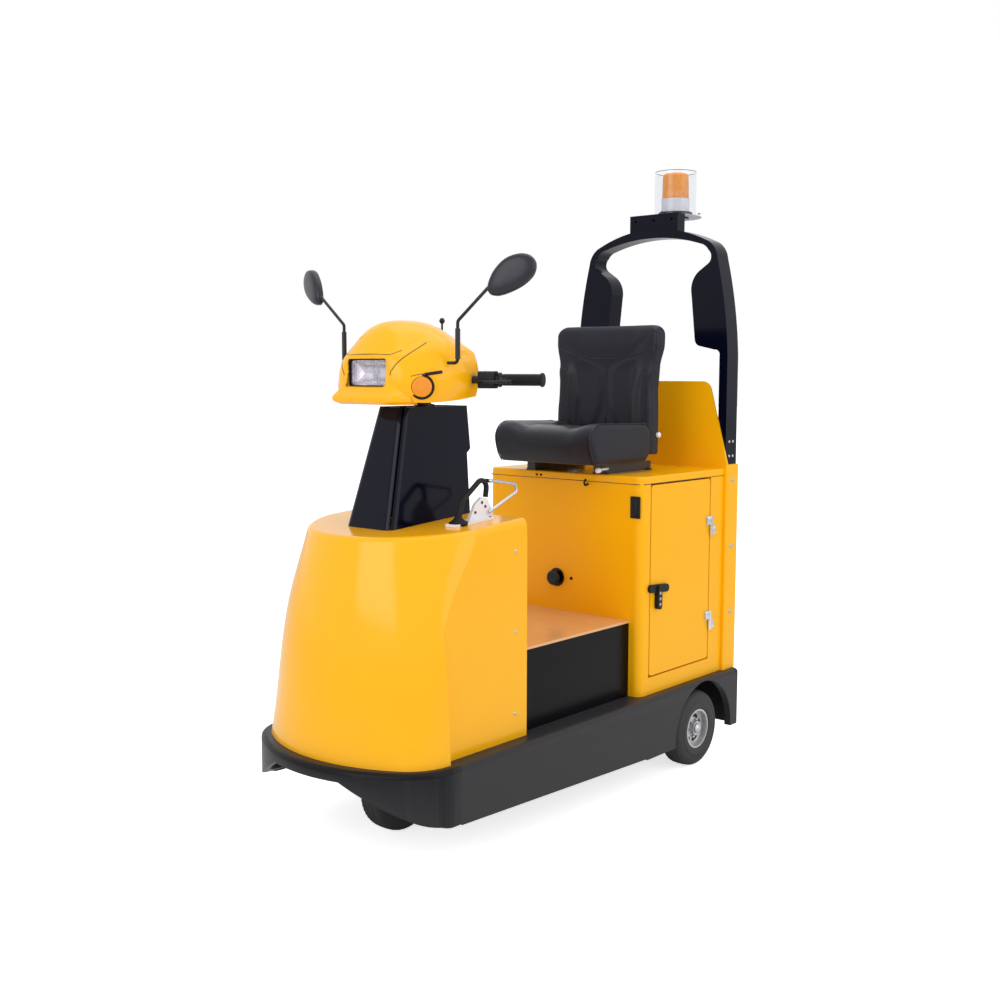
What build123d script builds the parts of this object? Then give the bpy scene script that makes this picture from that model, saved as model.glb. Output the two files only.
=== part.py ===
"""Three-wheeled electric tow tractor for airport baggage, as an assembly of separate pieces.

Millimetres. The front of the machine faces -Y, its left side +X, and +Z is up.
The origin is on the floor, at the middle of the machine's length and width.
"""
import math
import os

from build123d import *

os.makedirs("parts", exist_ok=True)

# ---- lengths along the machine, from the bumper to the beacon plate
bumper_overhang = 35.0
nose_length = 551.0
floor_length = 547.0
cabinet_length = 498.0
post_depth = 81.0
beacon_reach = 176.0
overall_length = (bumper_overhang + nose_length + floor_length + cabinet_length
                  + post_depth + beacon_reach)
front_y = -overall_length / 2
nose_front_y = front_y + bumper_overhang
nose_rear_y = nose_front_y + nose_length
cabinet_y = nose_rear_y + floor_length
post_y = cabinet_y + cabinet_length
rear_y = post_y + post_depth

# ---- heights
deck_z = 289.0
floor_z = 536.0
lid_z = 999.0
nose_top_z = 917.0
nose_fall = 0.07
bar_z = 1306.0

# ---- half widths
sill_half = 356.0
nose_half = 304.0
floor_half = 276.0
cabinet_half = 320.0
post_half = 332.0

# ---- walls and gaps
skirt_wall = 24.0
deck_wall = 8.0
nose_wall = 8.0
cabinet_wall = 16.0
door_gap = 5.0
shaft_gap = 0.05
seat_gap = 0.3

# ---- wheels
tyre_radius = 128.0
tyre_width = 84.0
bead_radius = 66.0
tyre_proud = 2.0
rear_wheel_setback = 305.0
rear_wheel_y = cabinet_y + rear_wheel_setback
rear_wheel_x = sill_half + tyre_proud - tyre_width / 2

# ---- steering: the axis leans back, and the wheel trails behind it
rake = 8.0
trail = 43.0
stem_setback = 93.0
stem_radius = 19.0
neck_radius = 30.0
stem_y = nose_rear_y - stem_setback


def axis_y(z):
    """Where the steering axis passes at a height."""
    return stem_y - (bar_z - z) * math.tan(math.radians(rake))


def steering_plane(z):
    """A plane square to the steering axis at a height."""
    lean = math.radians(rake)
    return Plane(origin=(0, axis_y(z), z), x_dir=(1, 0, 0), z_dir=(0, math.sin(lean), math.cos(lean)))


front_wheel_y = axis_y(tyre_radius) + trail


def rounded_front(half, corner_y, front, corner_radius, rear):
    """Outline with straight sides and a front of three tangent arcs, as a closed face."""
    depth = corner_y - front
    across = half - corner_radius
    front_radius = (across**2 + depth**2 - corner_radius**2) / (2 * (depth - corner_radius))
    reach = front_radius - corner_radius
    out_x, out_y = across / reach, (depth - front_radius) / reach
    join = (across + corner_radius * out_x, corner_y + corner_radius * out_y)
    turn = math.atan2(out_y, out_x) / 2
    middle = (across + corner_radius * math.cos(turn), corner_y + corner_radius * math.sin(turn))
    left, right = (-join[0], join[1]), join
    edges = [
        Edge.make_line((half, rear), (half, corner_y)),
        Edge.make_three_point_arc((half, corner_y), middle, right),
        Edge.make_three_point_arc(right, (0, front), left),
        Edge.make_three_point_arc(left, (-middle[0], middle[1]), (-half, corner_y)),
        Edge.make_line((-half, corner_y), (-half, rear)),
        Edge.make_line((-half, rear), (half, rear)),
    ]
    return Face(Wire(edges))


# ======================================================== chassis skirt and deck
skirt_corner_y = front_y + 225.0
skirt_corner_radius = 150.0
skirt_edge_radius = 14.0
skirt_low_z = 92.0
crease_y = skirt_corner_y + 31.0
apron_y = rear_y - skirt_wall - 8.0

with BuildPart() as skirt:
    with BuildSketch(Plane.XY.offset(skirt_low_z)):
        add(rounded_front(sill_half, skirt_corner_y, front_y, skirt_corner_radius, rear_y))
    extrude(amount=deck_z - skirt_low_z)
    fillet(skirt.edges().filter_by(Axis.Z).group_by(Axis.Y)[-1], radius=skirt_wall)
    fillet(skirt.faces().sort_by(Axis.Z)[-1].edges(), radius=skirt_edge_radius)
    with BuildSketch(Plane.XY.offset(skirt_low_z)):
        add(rounded_front(sill_half - skirt_wall, skirt_corner_y, front_y + skirt_wall,
                      skirt_corner_radius - skirt_wall, rear_y - skirt_wall))
    extrude(amount=deck_z, mode=Mode.SUBTRACT)

# the bumper's lower edge arches over the steered wheel
arch_low_z = 140.0
arch_high_z = 255.0
arch_low_x = 350.0
arch_high_x = 130.0
with BuildPart() as front_bumper:
    add(skirt.part)
    split(bisect_by=Plane.XZ.offset(-crease_y), keep=Keep.TOP)
    with BuildSketch(Plane.XZ.offset(-crease_y)):
        with BuildLine():
            Polyline((-sill_half - 1, 0), (-sill_half - 1, arch_low_z - 10), (-arch_low_x, arch_low_z),
                     (-arch_high_x, arch_high_z), (arch_high_x, arch_high_z), (arch_low_x, arch_low_z),
                     (sill_half + 1, arch_low_z - 10), (sill_half + 1, 0), close=True)
        make_face()
    extrude(amount=crease_y - front_y + 1, mode=Mode.SUBTRACT)
front_bumper.part.label = "front_bumper"

wheel_arch_setback = 36.0
wheel_arch_z = 108.0
wheel_arch_radius = 176.0
sill_fall_y = cabinet_y
with BuildPart() as side_sills:
    add(skirt.part)
    split(bisect_by=Plane.XZ.offset(-crease_y), keep=Keep.BOTTOM)
    split(bisect_by=Plane.XZ.offset(-apron_y), keep=Keep.TOP)
    with BuildSketch(Plane.YZ):
        with BuildLine():
            Polyline((crease_y - 1, 0), (crease_y - 1, arch_low_z - 12), (sill_fall_y, skirt_low_z + 4),
                     (sill_fall_y, 0), close=True)
        make_face()
    extrude(amount=sill_half + 1, both=True, mode=Mode.SUBTRACT)
    with BuildSketch(Plane.YZ):
        with Locations((rear_wheel_y + wheel_arch_setback, wheel_arch_z)):
            Circle(wheel_arch_radius)
        with Locations((rear_wheel_y + wheel_arch_setback, wheel_arch_z / 2)):
            Rectangle(2 * wheel_arch_radius, wheel_arch_z)
    extrude(amount=sill_half + 1, both=True, mode=Mode.SUBTRACT)
side_sills.part.label = "side_sills"

with BuildPart() as rear_apron:
    add(skirt.part)
    split(bisect_by=Plane.XZ.offset(-apron_y), keep=Keep.BOTTOM)
rear_apron.part.label = "rear_apron"

crown_z = deck_z - 5.0
deck_hole_radius = 92.0
with BuildPart() as chassis_deck:
    with BuildSketch(Plane.XY.offset(deck_z - deck_wall)):
        add(rounded_front(sill_half - skirt_wall, skirt_corner_y, front_y + skirt_wall,
                      skirt_corner_radius - skirt_wall, rear_y - skirt_wall))
        with Locations((0, axis_y(crown_z))):
            Circle(deck_hole_radius, mode=Mode.SUBTRACT)
    extrude(amount=deck_wall)
chassis_deck.part.label = "chassis_deck"

rail_x = 200.0
rail_width = 40.0
rail_height = 50.0
rail_front_y = axis_y(tyre_radius) + 210.0
with BuildPart() as chassis_rails:
    rail_low_z = deck_z - deck_wall - rail_height
    with BuildSketch(Plane.XY.offset(rail_low_z)):
        with Locations((-rail_x, (rail_front_y + apron_y) / 2), (rail_x, (rail_front_y + apron_y) / 2)):
            Rectangle(rail_width, apron_y - rail_front_y)
    extrude(amount=rail_height)
chassis_rails.part.label = "chassis_rails"

# ======================================================== nose
nose_join_y = nose_front_y + 205.0
nose_edge_radius = 20.0
nose_flare = 26.0
# height, half width, y where the corner starts, y of the front, corner radius
nose_sections = [
    (deck_z, nose_half + nose_flare, nose_front_y + 204, nose_front_y + 4, 146.0),
    (600.0, nose_half + 12, nose_front_y + 248, nose_front_y + 40, 150.0),
    (760.0, nose_half + 4, nose_front_y + 294, nose_front_y + 70, 158.0),
    (nose_top_z + 13, nose_half - 3, nose_front_y + 385, nose_front_y + 114, 165.0),
]


def roof_z(y, below=0.0):
    """Height of the nose's sloping top at a place along the machine, or of a level below it."""
    return nose_top_z - below + (y - nose_rear_y) * nose_fall


def nose_form(inset):
    """The nose as a solid, drawn in from the outside by an inset: the flare steps in to flat sides."""
    past = 60.0
    with BuildPart() as above:
        with BuildSketch(Plane.YZ):
            with BuildLine():
                Polyline((nose_rear_y + past, roof_z(nose_rear_y + past, inset)),
                         (nose_rear_y + past, 2 * nose_top_z), (nose_front_y - past, 2 * nose_top_z),
                         (nose_front_y - past, roof_z(nose_front_y - past, inset)), close=True)
            make_face()
        extrude(amount=sill_half, both=True)
    with BuildPart() as form:
        for z, half, corner_y, front, corner_radius in nose_sections:
            with BuildSketch(Plane.XY.offset(z)):
                add(rounded_front(half - inset, corner_y, front + inset, corner_radius - inset,
                                  nose_rear_y + past))
        loft()
        add(above.part, mode=Mode.SUBTRACT)
        if not inset:
            top = form.faces().filter_by(lambda face: face.normal_at().Z > 0.9).sort_by(Axis.Z)[-1]
            fillet([e for e in top.edges() if e.center().Y < nose_rear_y + past - 1], radius=nose_edge_radius)
        for side in (-1, 1):
            with BuildSketch(Plane.XY.offset(deck_z - 1)):
                with Locations((side * (nose_half - inset + sill_half / 2),
                                nose_join_y - inset + (nose_rear_y + past - nose_join_y) / 2 + past)):
                    Rectangle(sill_half, nose_rear_y + past - nose_join_y + 2 * past)
            extrude(amount=nose_top_z, mode=Mode.SUBTRACT)
        split(bisect_by=Plane.XZ.offset(-nose_rear_y), keep=Keep.TOP)
    return form.part


stem_hole_radius = 40.0
with BuildPart() as nose_shell:
    add(nose_form(0))
    add(nose_form(nose_wall), mode=Mode.SUBTRACT)
    with BuildSketch(Plane.XY.offset(nose_top_z - 80)):
        with Locations((0, axis_y(nose_top_z - 20))):
            Circle(stem_hole_radius)
    extrude(amount=120, mode=Mode.SUBTRACT)
nose_shell.part.label = "nose_shell"

with BuildPart() as dash_panel:
    with BuildSketch(Plane.XY.offset(deck_z)):
        with Locations((0, nose_rear_y - nose_wall / 2)):
            Rectangle(2 * (nose_sections[-1][1] - nose_wall - seat_gap), nose_wall)
    extrude(amount=roof_z(nose_rear_y - nose_wall, nose_wall) - seat_gap - deck_z)
    chamfer(dash_panel.edges().filter_by(Axis.Y).group_by(Axis.Z)[-1], length=nose_edge_radius - nose_wall)
dash_panel.part.label = "dash_panel"

# ======================================================== footwell
with BuildPart() as floor_plate:
    with BuildSketch(Plane.XY.offset(floor_z - deck_wall)):
        with Locations((0, (nose_rear_y + cabinet_y) / 2)):
            Rectangle(2 * floor_half, floor_length)
    extrude(amount=deck_wall)
floor_plate.part.label = "floor_plate"

with BuildPart() as floor_risers:
    with BuildSketch(Plane.XY.offset(deck_z)):
        with Locations((-floor_half + deck_wall / 2, (nose_rear_y + cabinet_y) / 2),
                       (floor_half - deck_wall / 2, (nose_rear_y + cabinet_y) / 2)):
            Rectangle(deck_wall, floor_length)
    extrude(amount=floor_z - deck_wall - deck_z)
floor_risers.part.label = "floor_risers"

# ======================================================== cabinet under the seat
lid_lip = 24.0
cabinet_corner_radius = 28.0
lid_wall = 8.0
door_front_setback = 55.0
door_width = 355.0
door_low_z = 350.0
door_y = cabinet_y + door_front_setback
cabinet_top_z = lid_z - lid_lip
with BuildPart() as cabinet:
    with BuildSketch(Plane.XY.offset(deck_z)) as cabinet_plan:
        with Locations((0, cabinet_y + cabinet_length / 2)):
            Rectangle(2 * cabinet_half, cabinet_length)
        fillet(cabinet_plan.vertices().group_by(Axis.Y)[0], radius=cabinet_corner_radius)
        with Locations((0, cabinet_y + cabinet_wall + cabinet_length / 2)):
            Rectangle(2 * (cabinet_half - cabinet_wall), cabinet_length, mode=Mode.SUBTRACT)
    extrude(amount=cabinet_top_z - deck_z)
    with BuildSketch(Plane.XY.offset(door_low_z - door_gap)):
        with Locations((cabinet_half, door_y + door_width / 2)):
            Rectangle(3 * cabinet_wall, door_width + 2 * door_gap)
    extrude(amount=cabinet_top_z - door_low_z + door_gap, mode=Mode.SUBTRACT)
cabinet.part.label = "cabinet"

with BuildPart() as seat_deck:
    with BuildSketch(Plane.XY.offset(cabinet_top_z)) as lid_plan:
        with Locations((0, cabinet_y + cabinet_length / 2)):
            Rectangle(2 * cabinet_half, cabinet_length)
        fillet(lid_plan.vertices().group_by(Axis.Y)[0], radius=cabinet_corner_radius)
    extrude(amount=lid_lip)
    fillet(seat_deck.faces().sort_by(Axis.Z)[-1].edges().sort_by(Axis.Y)[:-1], radius=6)
    with BuildSketch(Plane.XY.offset(cabinet_top_z)):
        with Locations((0, cabinet_y + cabinet_length / 2)):
            Rectangle(2 * (cabinet_half - cabinet_wall), cabinet_length - 2 * cabinet_wall)
    extrude(amount=lid_lip - lid_wall, mode=Mode.SUBTRACT)
seat_deck.part.label = "seat_deck"

post_width = 56.0
post_top_z = 1012.0
with BuildPart() as corner_posts:
    with BuildSketch(Plane.XY.offset(deck_z)):
        with Locations((-post_half + post_width / 2, post_y + post_depth / 2),
                       (post_half - post_width / 2, post_y + post_depth / 2)):
            Rectangle(post_width, post_depth)
    extrude(amount=post_top_z - deck_z)
    fillet([e for e in corner_posts.edges().filter_by(Axis.Z) if abs(e.center().X) > post_half - 1], radius=6)
corner_posts.part.label = "corner_posts"

with BuildPart() as rear_panel:
    with BuildSketch(Plane.YZ.offset(-post_half + post_width)):
        with BuildLine():
            Polyline((rear_y, deck_z), (rear_y, post_top_z), (post_y, post_top_z),
                     (post_y, post_top_z - cabinet_wall), (rear_y - cabinet_wall, post_top_z - cabinet_wall),
                     (rear_y - cabinet_wall, deck_z), close=True)
        make_face()
    extrude(amount=2 * (post_half - post_width))
rear_panel.part.label = "rear_panel"

bulkhead_wall = 9.0
bulkhead_top_z = 1298.0
bulkhead_top_half = 254.0
with BuildPart() as bulkhead:
    with BuildSketch(Plane.XZ.offset(-post_y)) as bulkhead_shape:
        with BuildLine():
            Polyline((-post_half, post_top_z), (-bulkhead_top_half, bulkhead_top_z),
                     (bulkhead_top_half, bulkhead_top_z), (post_half, post_top_z), close=True)
        make_face()
        fillet(bulkhead_shape.vertices().group_by(Axis.Y)[-1], radius=36)
    extrude(amount=-bulkhead_wall)
bulkhead.part.label = "bulkhead"

# ---- side door on a vertical hinge at its rear edge
door_wall = 16.0
hinge_radius = 6.0
hinge_x = cabinet_half + hinge_radius
hinge_y = door_y + door_width + door_gap / 2
hinge_heights = (482.0, 810.0)
hinge_height = 66.0
hinge_reach = 26.0
hinge_leaf = 3.0
with BuildPart() as door:
    with BuildSketch(Plane.XY.offset(door_low_z)):
        with Locations((cabinet_half - door_wall / 2, door_y + door_width / 2)):
            Rectangle(door_wall, door_width)
    extrude(amount=cabinet_top_z - door_gap - door_low_z)
    fillet([e for e in door.edges().filter_by(Axis.X)], radius=12)
door.part.label = "door"

with BuildPart() as door_hinges:
    for z in hinge_heights:
        with BuildSketch(Plane.XY.offset(z + 1)):
            with Locations((hinge_x, hinge_y)):
                Circle(hinge_radius)
            with Locations((cabinet_half + hinge_leaf / 2, hinge_y - hinge_reach / 2)):
                Rectangle(hinge_leaf, hinge_reach)
        extrude(amount=hinge_height / 2 - 1)
door_hinges.part.label = "door_hinges"

with BuildPart() as post_hinges:
    for z in hinge_heights:
        with BuildSketch(Plane.XY.offset(z - hinge_height / 2)):
            with Locations((hinge_x, hinge_y)):
                Circle(hinge_radius)
            with Locations((cabinet_half + hinge_leaf / 2, hinge_y + hinge_reach / 2)):
                Rectangle(hinge_leaf, hinge_reach)
        extrude(amount=hinge_height / 2)
post_hinges.part.label = "post_hinges"

latch_y = door_y + 40.0
latch_z = 634.0
with BuildPart() as door_latch:
    with BuildSketch(Plane.YZ.offset(cabinet_half)):
        with Locations((latch_y, latch_z)):
            SlotOverall(112, 26, rotation=-4)
    extrude(amount=10)
    with BuildSketch(Plane.YZ.offset(cabinet_half)):
        with Locations((latch_y - 4, latch_z - 28)):
            SlotOverall(80, 22, rotation=90)
    extrude(amount=16)
door_latch.part.label = "door_latch"

battery_room = 34.0
battery_height = 470.0
with BuildPart() as battery:
    with BuildSketch(Plane.XY.offset(deck_z)):
        with Locations((0, cabinet_y + cabinet_length / 2)):
            Rectangle(2 * (cabinet_half - cabinet_wall - battery_room),
                      cabinet_length - 2 * (cabinet_wall + battery_room))
    extrude(amount=battery_height)
battery.part.label = "battery"

# ---- controls on the cabinet's front
stop_x = -18.0
stop_z = 645.0
with BuildPart() as stop_button:
    with BuildSketch(Plane.XZ.offset(-cabinet_y)):
        with Locations((stop_x, stop_z)):
            Circle(15)
    extrude(amount=14)
    with BuildSketch(Plane.XZ.offset(-cabinet_y + 14)):
        with Locations((stop_x, stop_z)):
            Circle(24)
    extrude(amount=14)
    chamfer(stop_button.faces().sort_by(Axis.Y)[0].edges(), length=4)
stop_button.part.label = "stop_button"

# ======================================================== seat
slide_x = 140.0
slide_height = 31.0
seat_half = 205.0
cushion_low_z = lid_z + slide_height
cushion_height = 136.0
cushion_front_y = cabinet_y - 118.0
back_y = cabinet_y + 225.0
cushion_depth = back_y - seat_gap - cushion_front_y
back_thick = 72.0
back_lean = 4.0
back_low_z = cushion_low_z + 20.0
back_high_z = 1488.0
with BuildPart() as seat_slides:
    for x in (-slide_x, slide_x):
        with BuildSketch(Plane.XY.offset(lid_z)):
            with Locations((x, cabinet_y + 150)):
                Rectangle(34, 280)
        extrude(amount=slide_height - seat_gap)
seat_slides.part.label = "seat_slides"

with BuildPart() as seat_cushion:
    with BuildSketch(Plane.YZ.offset(-seat_half)):
        with BuildLine():
            cushion_top_z = cushion_low_z + cushion_height
            Polyline((cushion_front_y + 34, cushion_low_z), (cushion_front_y, cushion_low_z + 66),
                     (cushion_front_y + 6, cushion_top_z - 14), (cushion_front_y + 40, cushion_top_z + 6),
                     (cushion_front_y + cushion_depth, cushion_top_z - 12),
                     (cushion_front_y + cushion_depth, cushion_low_z), close=True)
        make_face()
    extrude(amount=2 * seat_half)
    fillet(seat_cushion.edges().filter_by(Axis.X).group_by(Axis.Y)[0], radius=24)
seat_cushion.part.label = "seat_cushion"

with BuildPart() as seat_back:
    lean = math.tan(math.radians(back_lean))
    with BuildSketch(Plane.XZ.offset(-back_y)) as back_shape:
        with BuildLine():
            Polyline((-seat_half + 6, back_low_z), (-seat_half - 14, back_high_z - 90),
                     (-seat_half + 22, back_high_z), (seat_half - 22, back_high_z),
                     (seat_half + 14, back_high_z - 90), (seat_half - 6, back_low_z), close=True)
        make_face()
        fillet(back_shape.vertices().group_by(Axis.Y)[-1], radius=26)
    extrude(amount=-back_thick)
    fillet(seat_back.edges().filter_by(Axis.Y), radius=6)
seat_back.part.label = "seat_back"

# ======================================================== roll bar
bar_front_y = post_y + bulkhead_wall
bar_depth = 72.0
bar_half = 320.0
bar_leg = 32.0
bar_crown_z = 1835.0
with BuildPart() as roll_bar:
    with BuildSketch(Plane.XZ.offset(-bar_front_y)):
        with BuildLine():
            ThreePointArc((0, bar_crown_z), (113, bar_crown_z - 12.5), (222, bar_crown_z - 50))
            ThreePointArc((222, bar_crown_z - 50), (255, bar_crown_z - 73), (272, bar_crown_z - 113))
            ThreePointArc((272, bar_crown_z - 113), (303, bar_crown_z - 270), (bar_half, bar_crown_z - 455))
            Line((bar_half, bar_crown_z - 455), (bar_half, post_top_z))
            Line((bar_half, post_top_z), (bar_half - bar_leg, post_top_z))
            Line((bar_half - bar_leg, post_top_z), (bar_half - bar_leg, bar_crown_z - 450))
            ThreePointArc((bar_half - bar_leg, bar_crown_z - 450), (284, bar_crown_z - 434),
                          (268, bar_crown_z - 428))
            Line((268, bar_crown_z - 428), (212, bar_crown_z - 416))
            ThreePointArc((212, bar_crown_z - 416), (194, bar_crown_z - 407), (187, bar_crown_z - 388))
            Line((187, bar_crown_z - 388), (171, bar_crown_z - 235))
            ThreePointArc((171, bar_crown_z - 235), (174, bar_crown_z - 192), (200, bar_crown_z - 157))
            Line((200, bar_crown_z - 157), (234, bar_crown_z - 134))
            ThreePointArc((234, bar_crown_z - 134), (247, bar_crown_z - 113), (236, bar_crown_z - 87))
            ThreePointArc((236, bar_crown_z - 87), (224, bar_crown_z - 73), (205, bar_crown_z - 64))
            ThreePointArc((205, bar_crown_z - 64), (104, bar_crown_z - 40), (0, bar_crown_z - 32))
            Line((0, bar_crown_z - 32), (0, bar_crown_z))
        make_face()
    extrude(amount=-bar_depth)
    mirror(about=Plane.YZ)
roll_bar.part.label = "roll_bar"

# ======================================================== beacon
bracket_half = 101.0
bracket_wall = 5.0
bracket_rise = 53.0
bracket_top_z = bar_crown_z + bracket_rise
bracket_y = bar_front_y + 13.0
bracket_depth = 46.0
beacon_plate_radius = 95.0
beacon_y = front_y + overall_length - beacon_plate_radius
bracket_hole_radius = 4.5
bracket_hole_pitch = 76.0
with BuildPart() as beacon_bracket:
    with BuildSketch(Plane.XY.offset(bar_crown_z - 30)):
        with Locations((0, bracket_y + bracket_depth / 2)):
            Rectangle(2 * bracket_half, bracket_depth)
            Rectangle(2 * (bracket_half - bracket_wall), bracket_depth - 2 * bracket_wall, mode=Mode.SUBTRACT)
    extrude(amount=bracket_top_z - bar_crown_z + 30)
    with BuildSketch(Plane.XY.offset(bracket_top_z - bracket_wall)):
        with Locations((0, bracket_y + bracket_depth / 2)):
            Rectangle(2 * bracket_half, bracket_depth)
        with Locations((0, (bracket_y + beacon_y) / 2)):
            Rectangle(100, beacon_y - bracket_y)
        with Locations((0, beacon_y)):
            Circle(50)
    extrude(amount=bracket_wall)
    with BuildSketch(Plane.XZ.offset(-bar_front_y)):
        with BuildLine():
            ThreePointArc((-222, bar_crown_z - 50), (0, bar_crown_z), (222, bar_crown_z - 50))
            Polyline((222, bar_crown_z - 50), (222, bar_crown_z - 100), (-222, bar_crown_z - 100),
                     (-222, bar_crown_z - 50))
        make_face()
    extrude(amount=-bar_depth, mode=Mode.SUBTRACT)
    with BuildSketch(Plane.XZ.offset(-bracket_y)):
        with Locations((0, bracket_top_z - 21)):
            with GridLocations(bracket_hole_pitch, 1, 3, 1):
                Circle(bracket_hole_radius)
    extrude(amount=-bracket_wall, mode=Mode.SUBTRACT)
beacon_bracket.part.label = "beacon_bracket"

plate_wall = 3.0
foot_radius = 61.0
foot_height = 10.0
with BuildPart() as beacon_plate:
    with BuildSketch(Plane.XY.offset(bracket_top_z)):
        with Locations((0, beacon_y)):
            Circle(beacon_plate_radius)
    extrude(amount=plate_wall)
    with BuildSketch(Plane.XY.offset(bracket_top_z + plate_wall)):
        with Locations((0, beacon_y)):
            Circle(foot_radius)
    extrude(amount=foot_height)
beacon_plate.part.label = "beacon_plate"

base_radius = 51.0
beacon_base_height = 54.0
beacon_base_z = bracket_top_z + plate_wall + foot_height
with BuildPart() as beacon_base:
    with BuildSketch(Plane.XY.offset(beacon_base_z)):
        with Locations((0, beacon_y)):
            Circle(base_radius)
    extrude(amount=beacon_base_height)
beacon_base.part.label = "beacon_base"

lens_radius = 49.0
lens_height = 92.0
lens_draft = 3.0
lens_edge = 5.0
with BuildPart() as beacon_lens:
    lens_low_z = beacon_base_z + beacon_base_height
    with BuildSketch(Plane.YZ):
        with BuildLine():
            Polyline((beacon_y, lens_low_z), (beacon_y + lens_radius, lens_low_z),
                     (beacon_y + lens_radius - lens_draft, lens_low_z + lens_height - lens_edge),
                     (beacon_y + lens_radius - lens_draft - lens_edge, lens_low_z + lens_height),
                     (beacon_y, lens_low_z + lens_height), close=True)
        make_face()
    revolve(axis=Axis((0, beacon_y, 0), (0, 0, 1)))
beacon_lens.part.label = "beacon_lens"

guard_radius = 75.0
guard_wall = 2.5
guard_height = 160.0
with BuildPart() as beacon_guard:
    with BuildSketch(Plane.XY.offset(bracket_top_z + plate_wall)):
        with Locations((0, beacon_y)):
            Circle(guard_radius)
            Circle(guard_radius - guard_wall, mode=Mode.SUBTRACT)
    extrude(amount=guard_height)
beacon_guard.part.label = "beacon_guard"

# ======================================================== steering column
column_wall = 6.0
column_low_z = nose_top_z - 57.0
column_top_z = 1230.0
column_edge_radius = 26.0
# half widths and ends along the machine, at the low level and at the top
column_halves = (96.0, 55.0)
column_fronts = (nose_rear_y - 344.0, nose_rear_y - 243.0)
column_rears = (nose_rear_y - 8.0, nose_rear_y + 19.0)
recess_z = 1104.0
recess_depth = 16.0


def column_form(inset):
    """The column's cover as a solid: a front view and a side view cut into each other."""
    with BuildPart() as form:
        with BuildSketch(Plane.XZ.offset(-column_rears[1] - 1)):
            with BuildLine():
                Polyline((-column_halves[0] + inset, column_low_z), (-column_halves[1] + inset, column_top_z),
                         (column_halves[1] - inset, column_top_z), (column_halves[0] - inset, column_low_z),
                         close=True)
            make_face()
        extrude(amount=column_rears[1] - column_fronts[0] + 2)
        with BuildSketch(Plane.YZ):
            with BuildLine():
                Polyline((column_fronts[0] + inset, column_low_z), (column_fronts[1] + inset, column_top_z),
                         (column_rears[1] - inset, column_top_z),
                         (column_rears[1] - inset, recess_z), (column_rears[1] - recess_depth - inset, recess_z - 12),
                         (column_rears[0] - inset, column_low_z), close=True)
            make_face()
        extrude(amount=column_halves[0], both=True, mode=Mode.INTERSECT)
        if not inset:
            front = form.edges().filter_by(lambda e: e.center().Y < (column_fronts[1] + column_rears[0]) / 2)
            slanted = [e for e in front if abs(e.center().X) > column_halves[1] and e.length > 300]
            fillet(slanted, radius=column_edge_radius)
    return form.part


with BuildPart() as column_cover:
    add(column_form(0))
    add(column_form(column_wall), mode=Mode.SUBTRACT)
    with BuildSketch(Plane.YZ):
        with BuildLine():
            Polyline((nose_rear_y + 60, roof_z(nose_rear_y + 60)), (nose_rear_y + 60, nose_top_z - 300),
                     (nose_front_y, nose_top_z - 300), (nose_front_y, roof_z(nose_front_y)), close=True)
        make_face()
    extrude(amount=sill_half, both=True, mode=Mode.SUBTRACT)
column_cover.part.label = "column_cover"

tube_radius = 32.0
bridge_half = 165.0
bridge_depth = 190.0
bridge_z = 318.0
bridge_wall = 12.0
tube_low_z = bridge_z - 4
tube_length = 190.0
with BuildPart() as head_tube:
    with BuildSketch(Plane.XY.offset(deck_z)):
        for x in (-bridge_half + bridge_wall / 2, bridge_half - bridge_wall / 2):
            with Locations((x, axis_y(bridge_z))):
                Rectangle(bridge_wall, bridge_depth)
    extrude(amount=bridge_z - deck_z)
    with BuildSketch(Plane.XY.offset(bridge_z)):
        with Locations((0, axis_y(bridge_z))):
            Rectangle(2 * bridge_half, bridge_depth)
    extrude(amount=bridge_wall)
    with BuildSketch(steering_plane(tube_low_z)):
        Circle(tube_radius)
    extrude(amount=tube_length)
    with BuildSketch(steering_plane(tube_low_z - 40)):
        Circle(stem_radius + shaft_gap)
    extrude(amount=tube_length + 80, mode=Mode.SUBTRACT)
head_tube.part.label = "head_tube"

# ======================================================== steered parts
bar_radius = 11.0
crown_thick = 20.0
leg_x = tyre_width / 2 + 8
leg_thick = 12.0
axle_radius = 10.0
with BuildPart() as front_fork:
    with BuildSketch(steering_plane(crown_z)):
        Rectangle(2 * (leg_x + leg_thick), 84)
    extrude(amount=-crown_thick / 2, both=False)
    with BuildSketch(steering_plane(crown_z)):
        Rectangle(2 * (leg_x + leg_thick), 84)
    extrude(amount=crown_thick / 2)
    for side in (-1, 1):
        with BuildSketch(Plane.YZ.offset(side * (leg_x + leg_thick / 2))):
            with BuildLine():
                crown_y = axis_y(crown_z)
                Polyline((crown_y - 40, crown_z), (crown_y + 40, crown_z - 4),
                         (front_wheel_y + 26, tyre_radius), (front_wheel_y - 26, tyre_radius), close=True)
            make_face()
            with Locations((front_wheel_y, tyre_radius)):
                Circle(26)
        extrude(amount=leg_thick / 2, both=True)
    with BuildSketch(Plane.YZ):
        with Locations((front_wheel_y, tyre_radius)):
            Circle(axle_radius)
    extrude(amount=leg_x + leg_thick + 6, both=True)
front_fork.part.label = "front_fork"

neck_low_z = column_top_z - 40.0
neck_height = 47.0
cowl_bore_z = bar_z - bar_radius - 6.0
stem_low_z = crown_z + crown_thick / 2 * math.cos(math.radians(rake))
with BuildPart() as steer_stem:
    with BuildSketch(steering_plane(stem_low_z)):
        Circle(stem_radius)
    extrude(amount=(cowl_bore_z - seat_gap - stem_low_z) / math.cos(math.radians(rake)))
    with BuildSketch(steering_plane(neck_low_z)):
        Circle(neck_radius)
    extrude(amount=neck_height)
steer_stem.part.label = "steer_stem"

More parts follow.
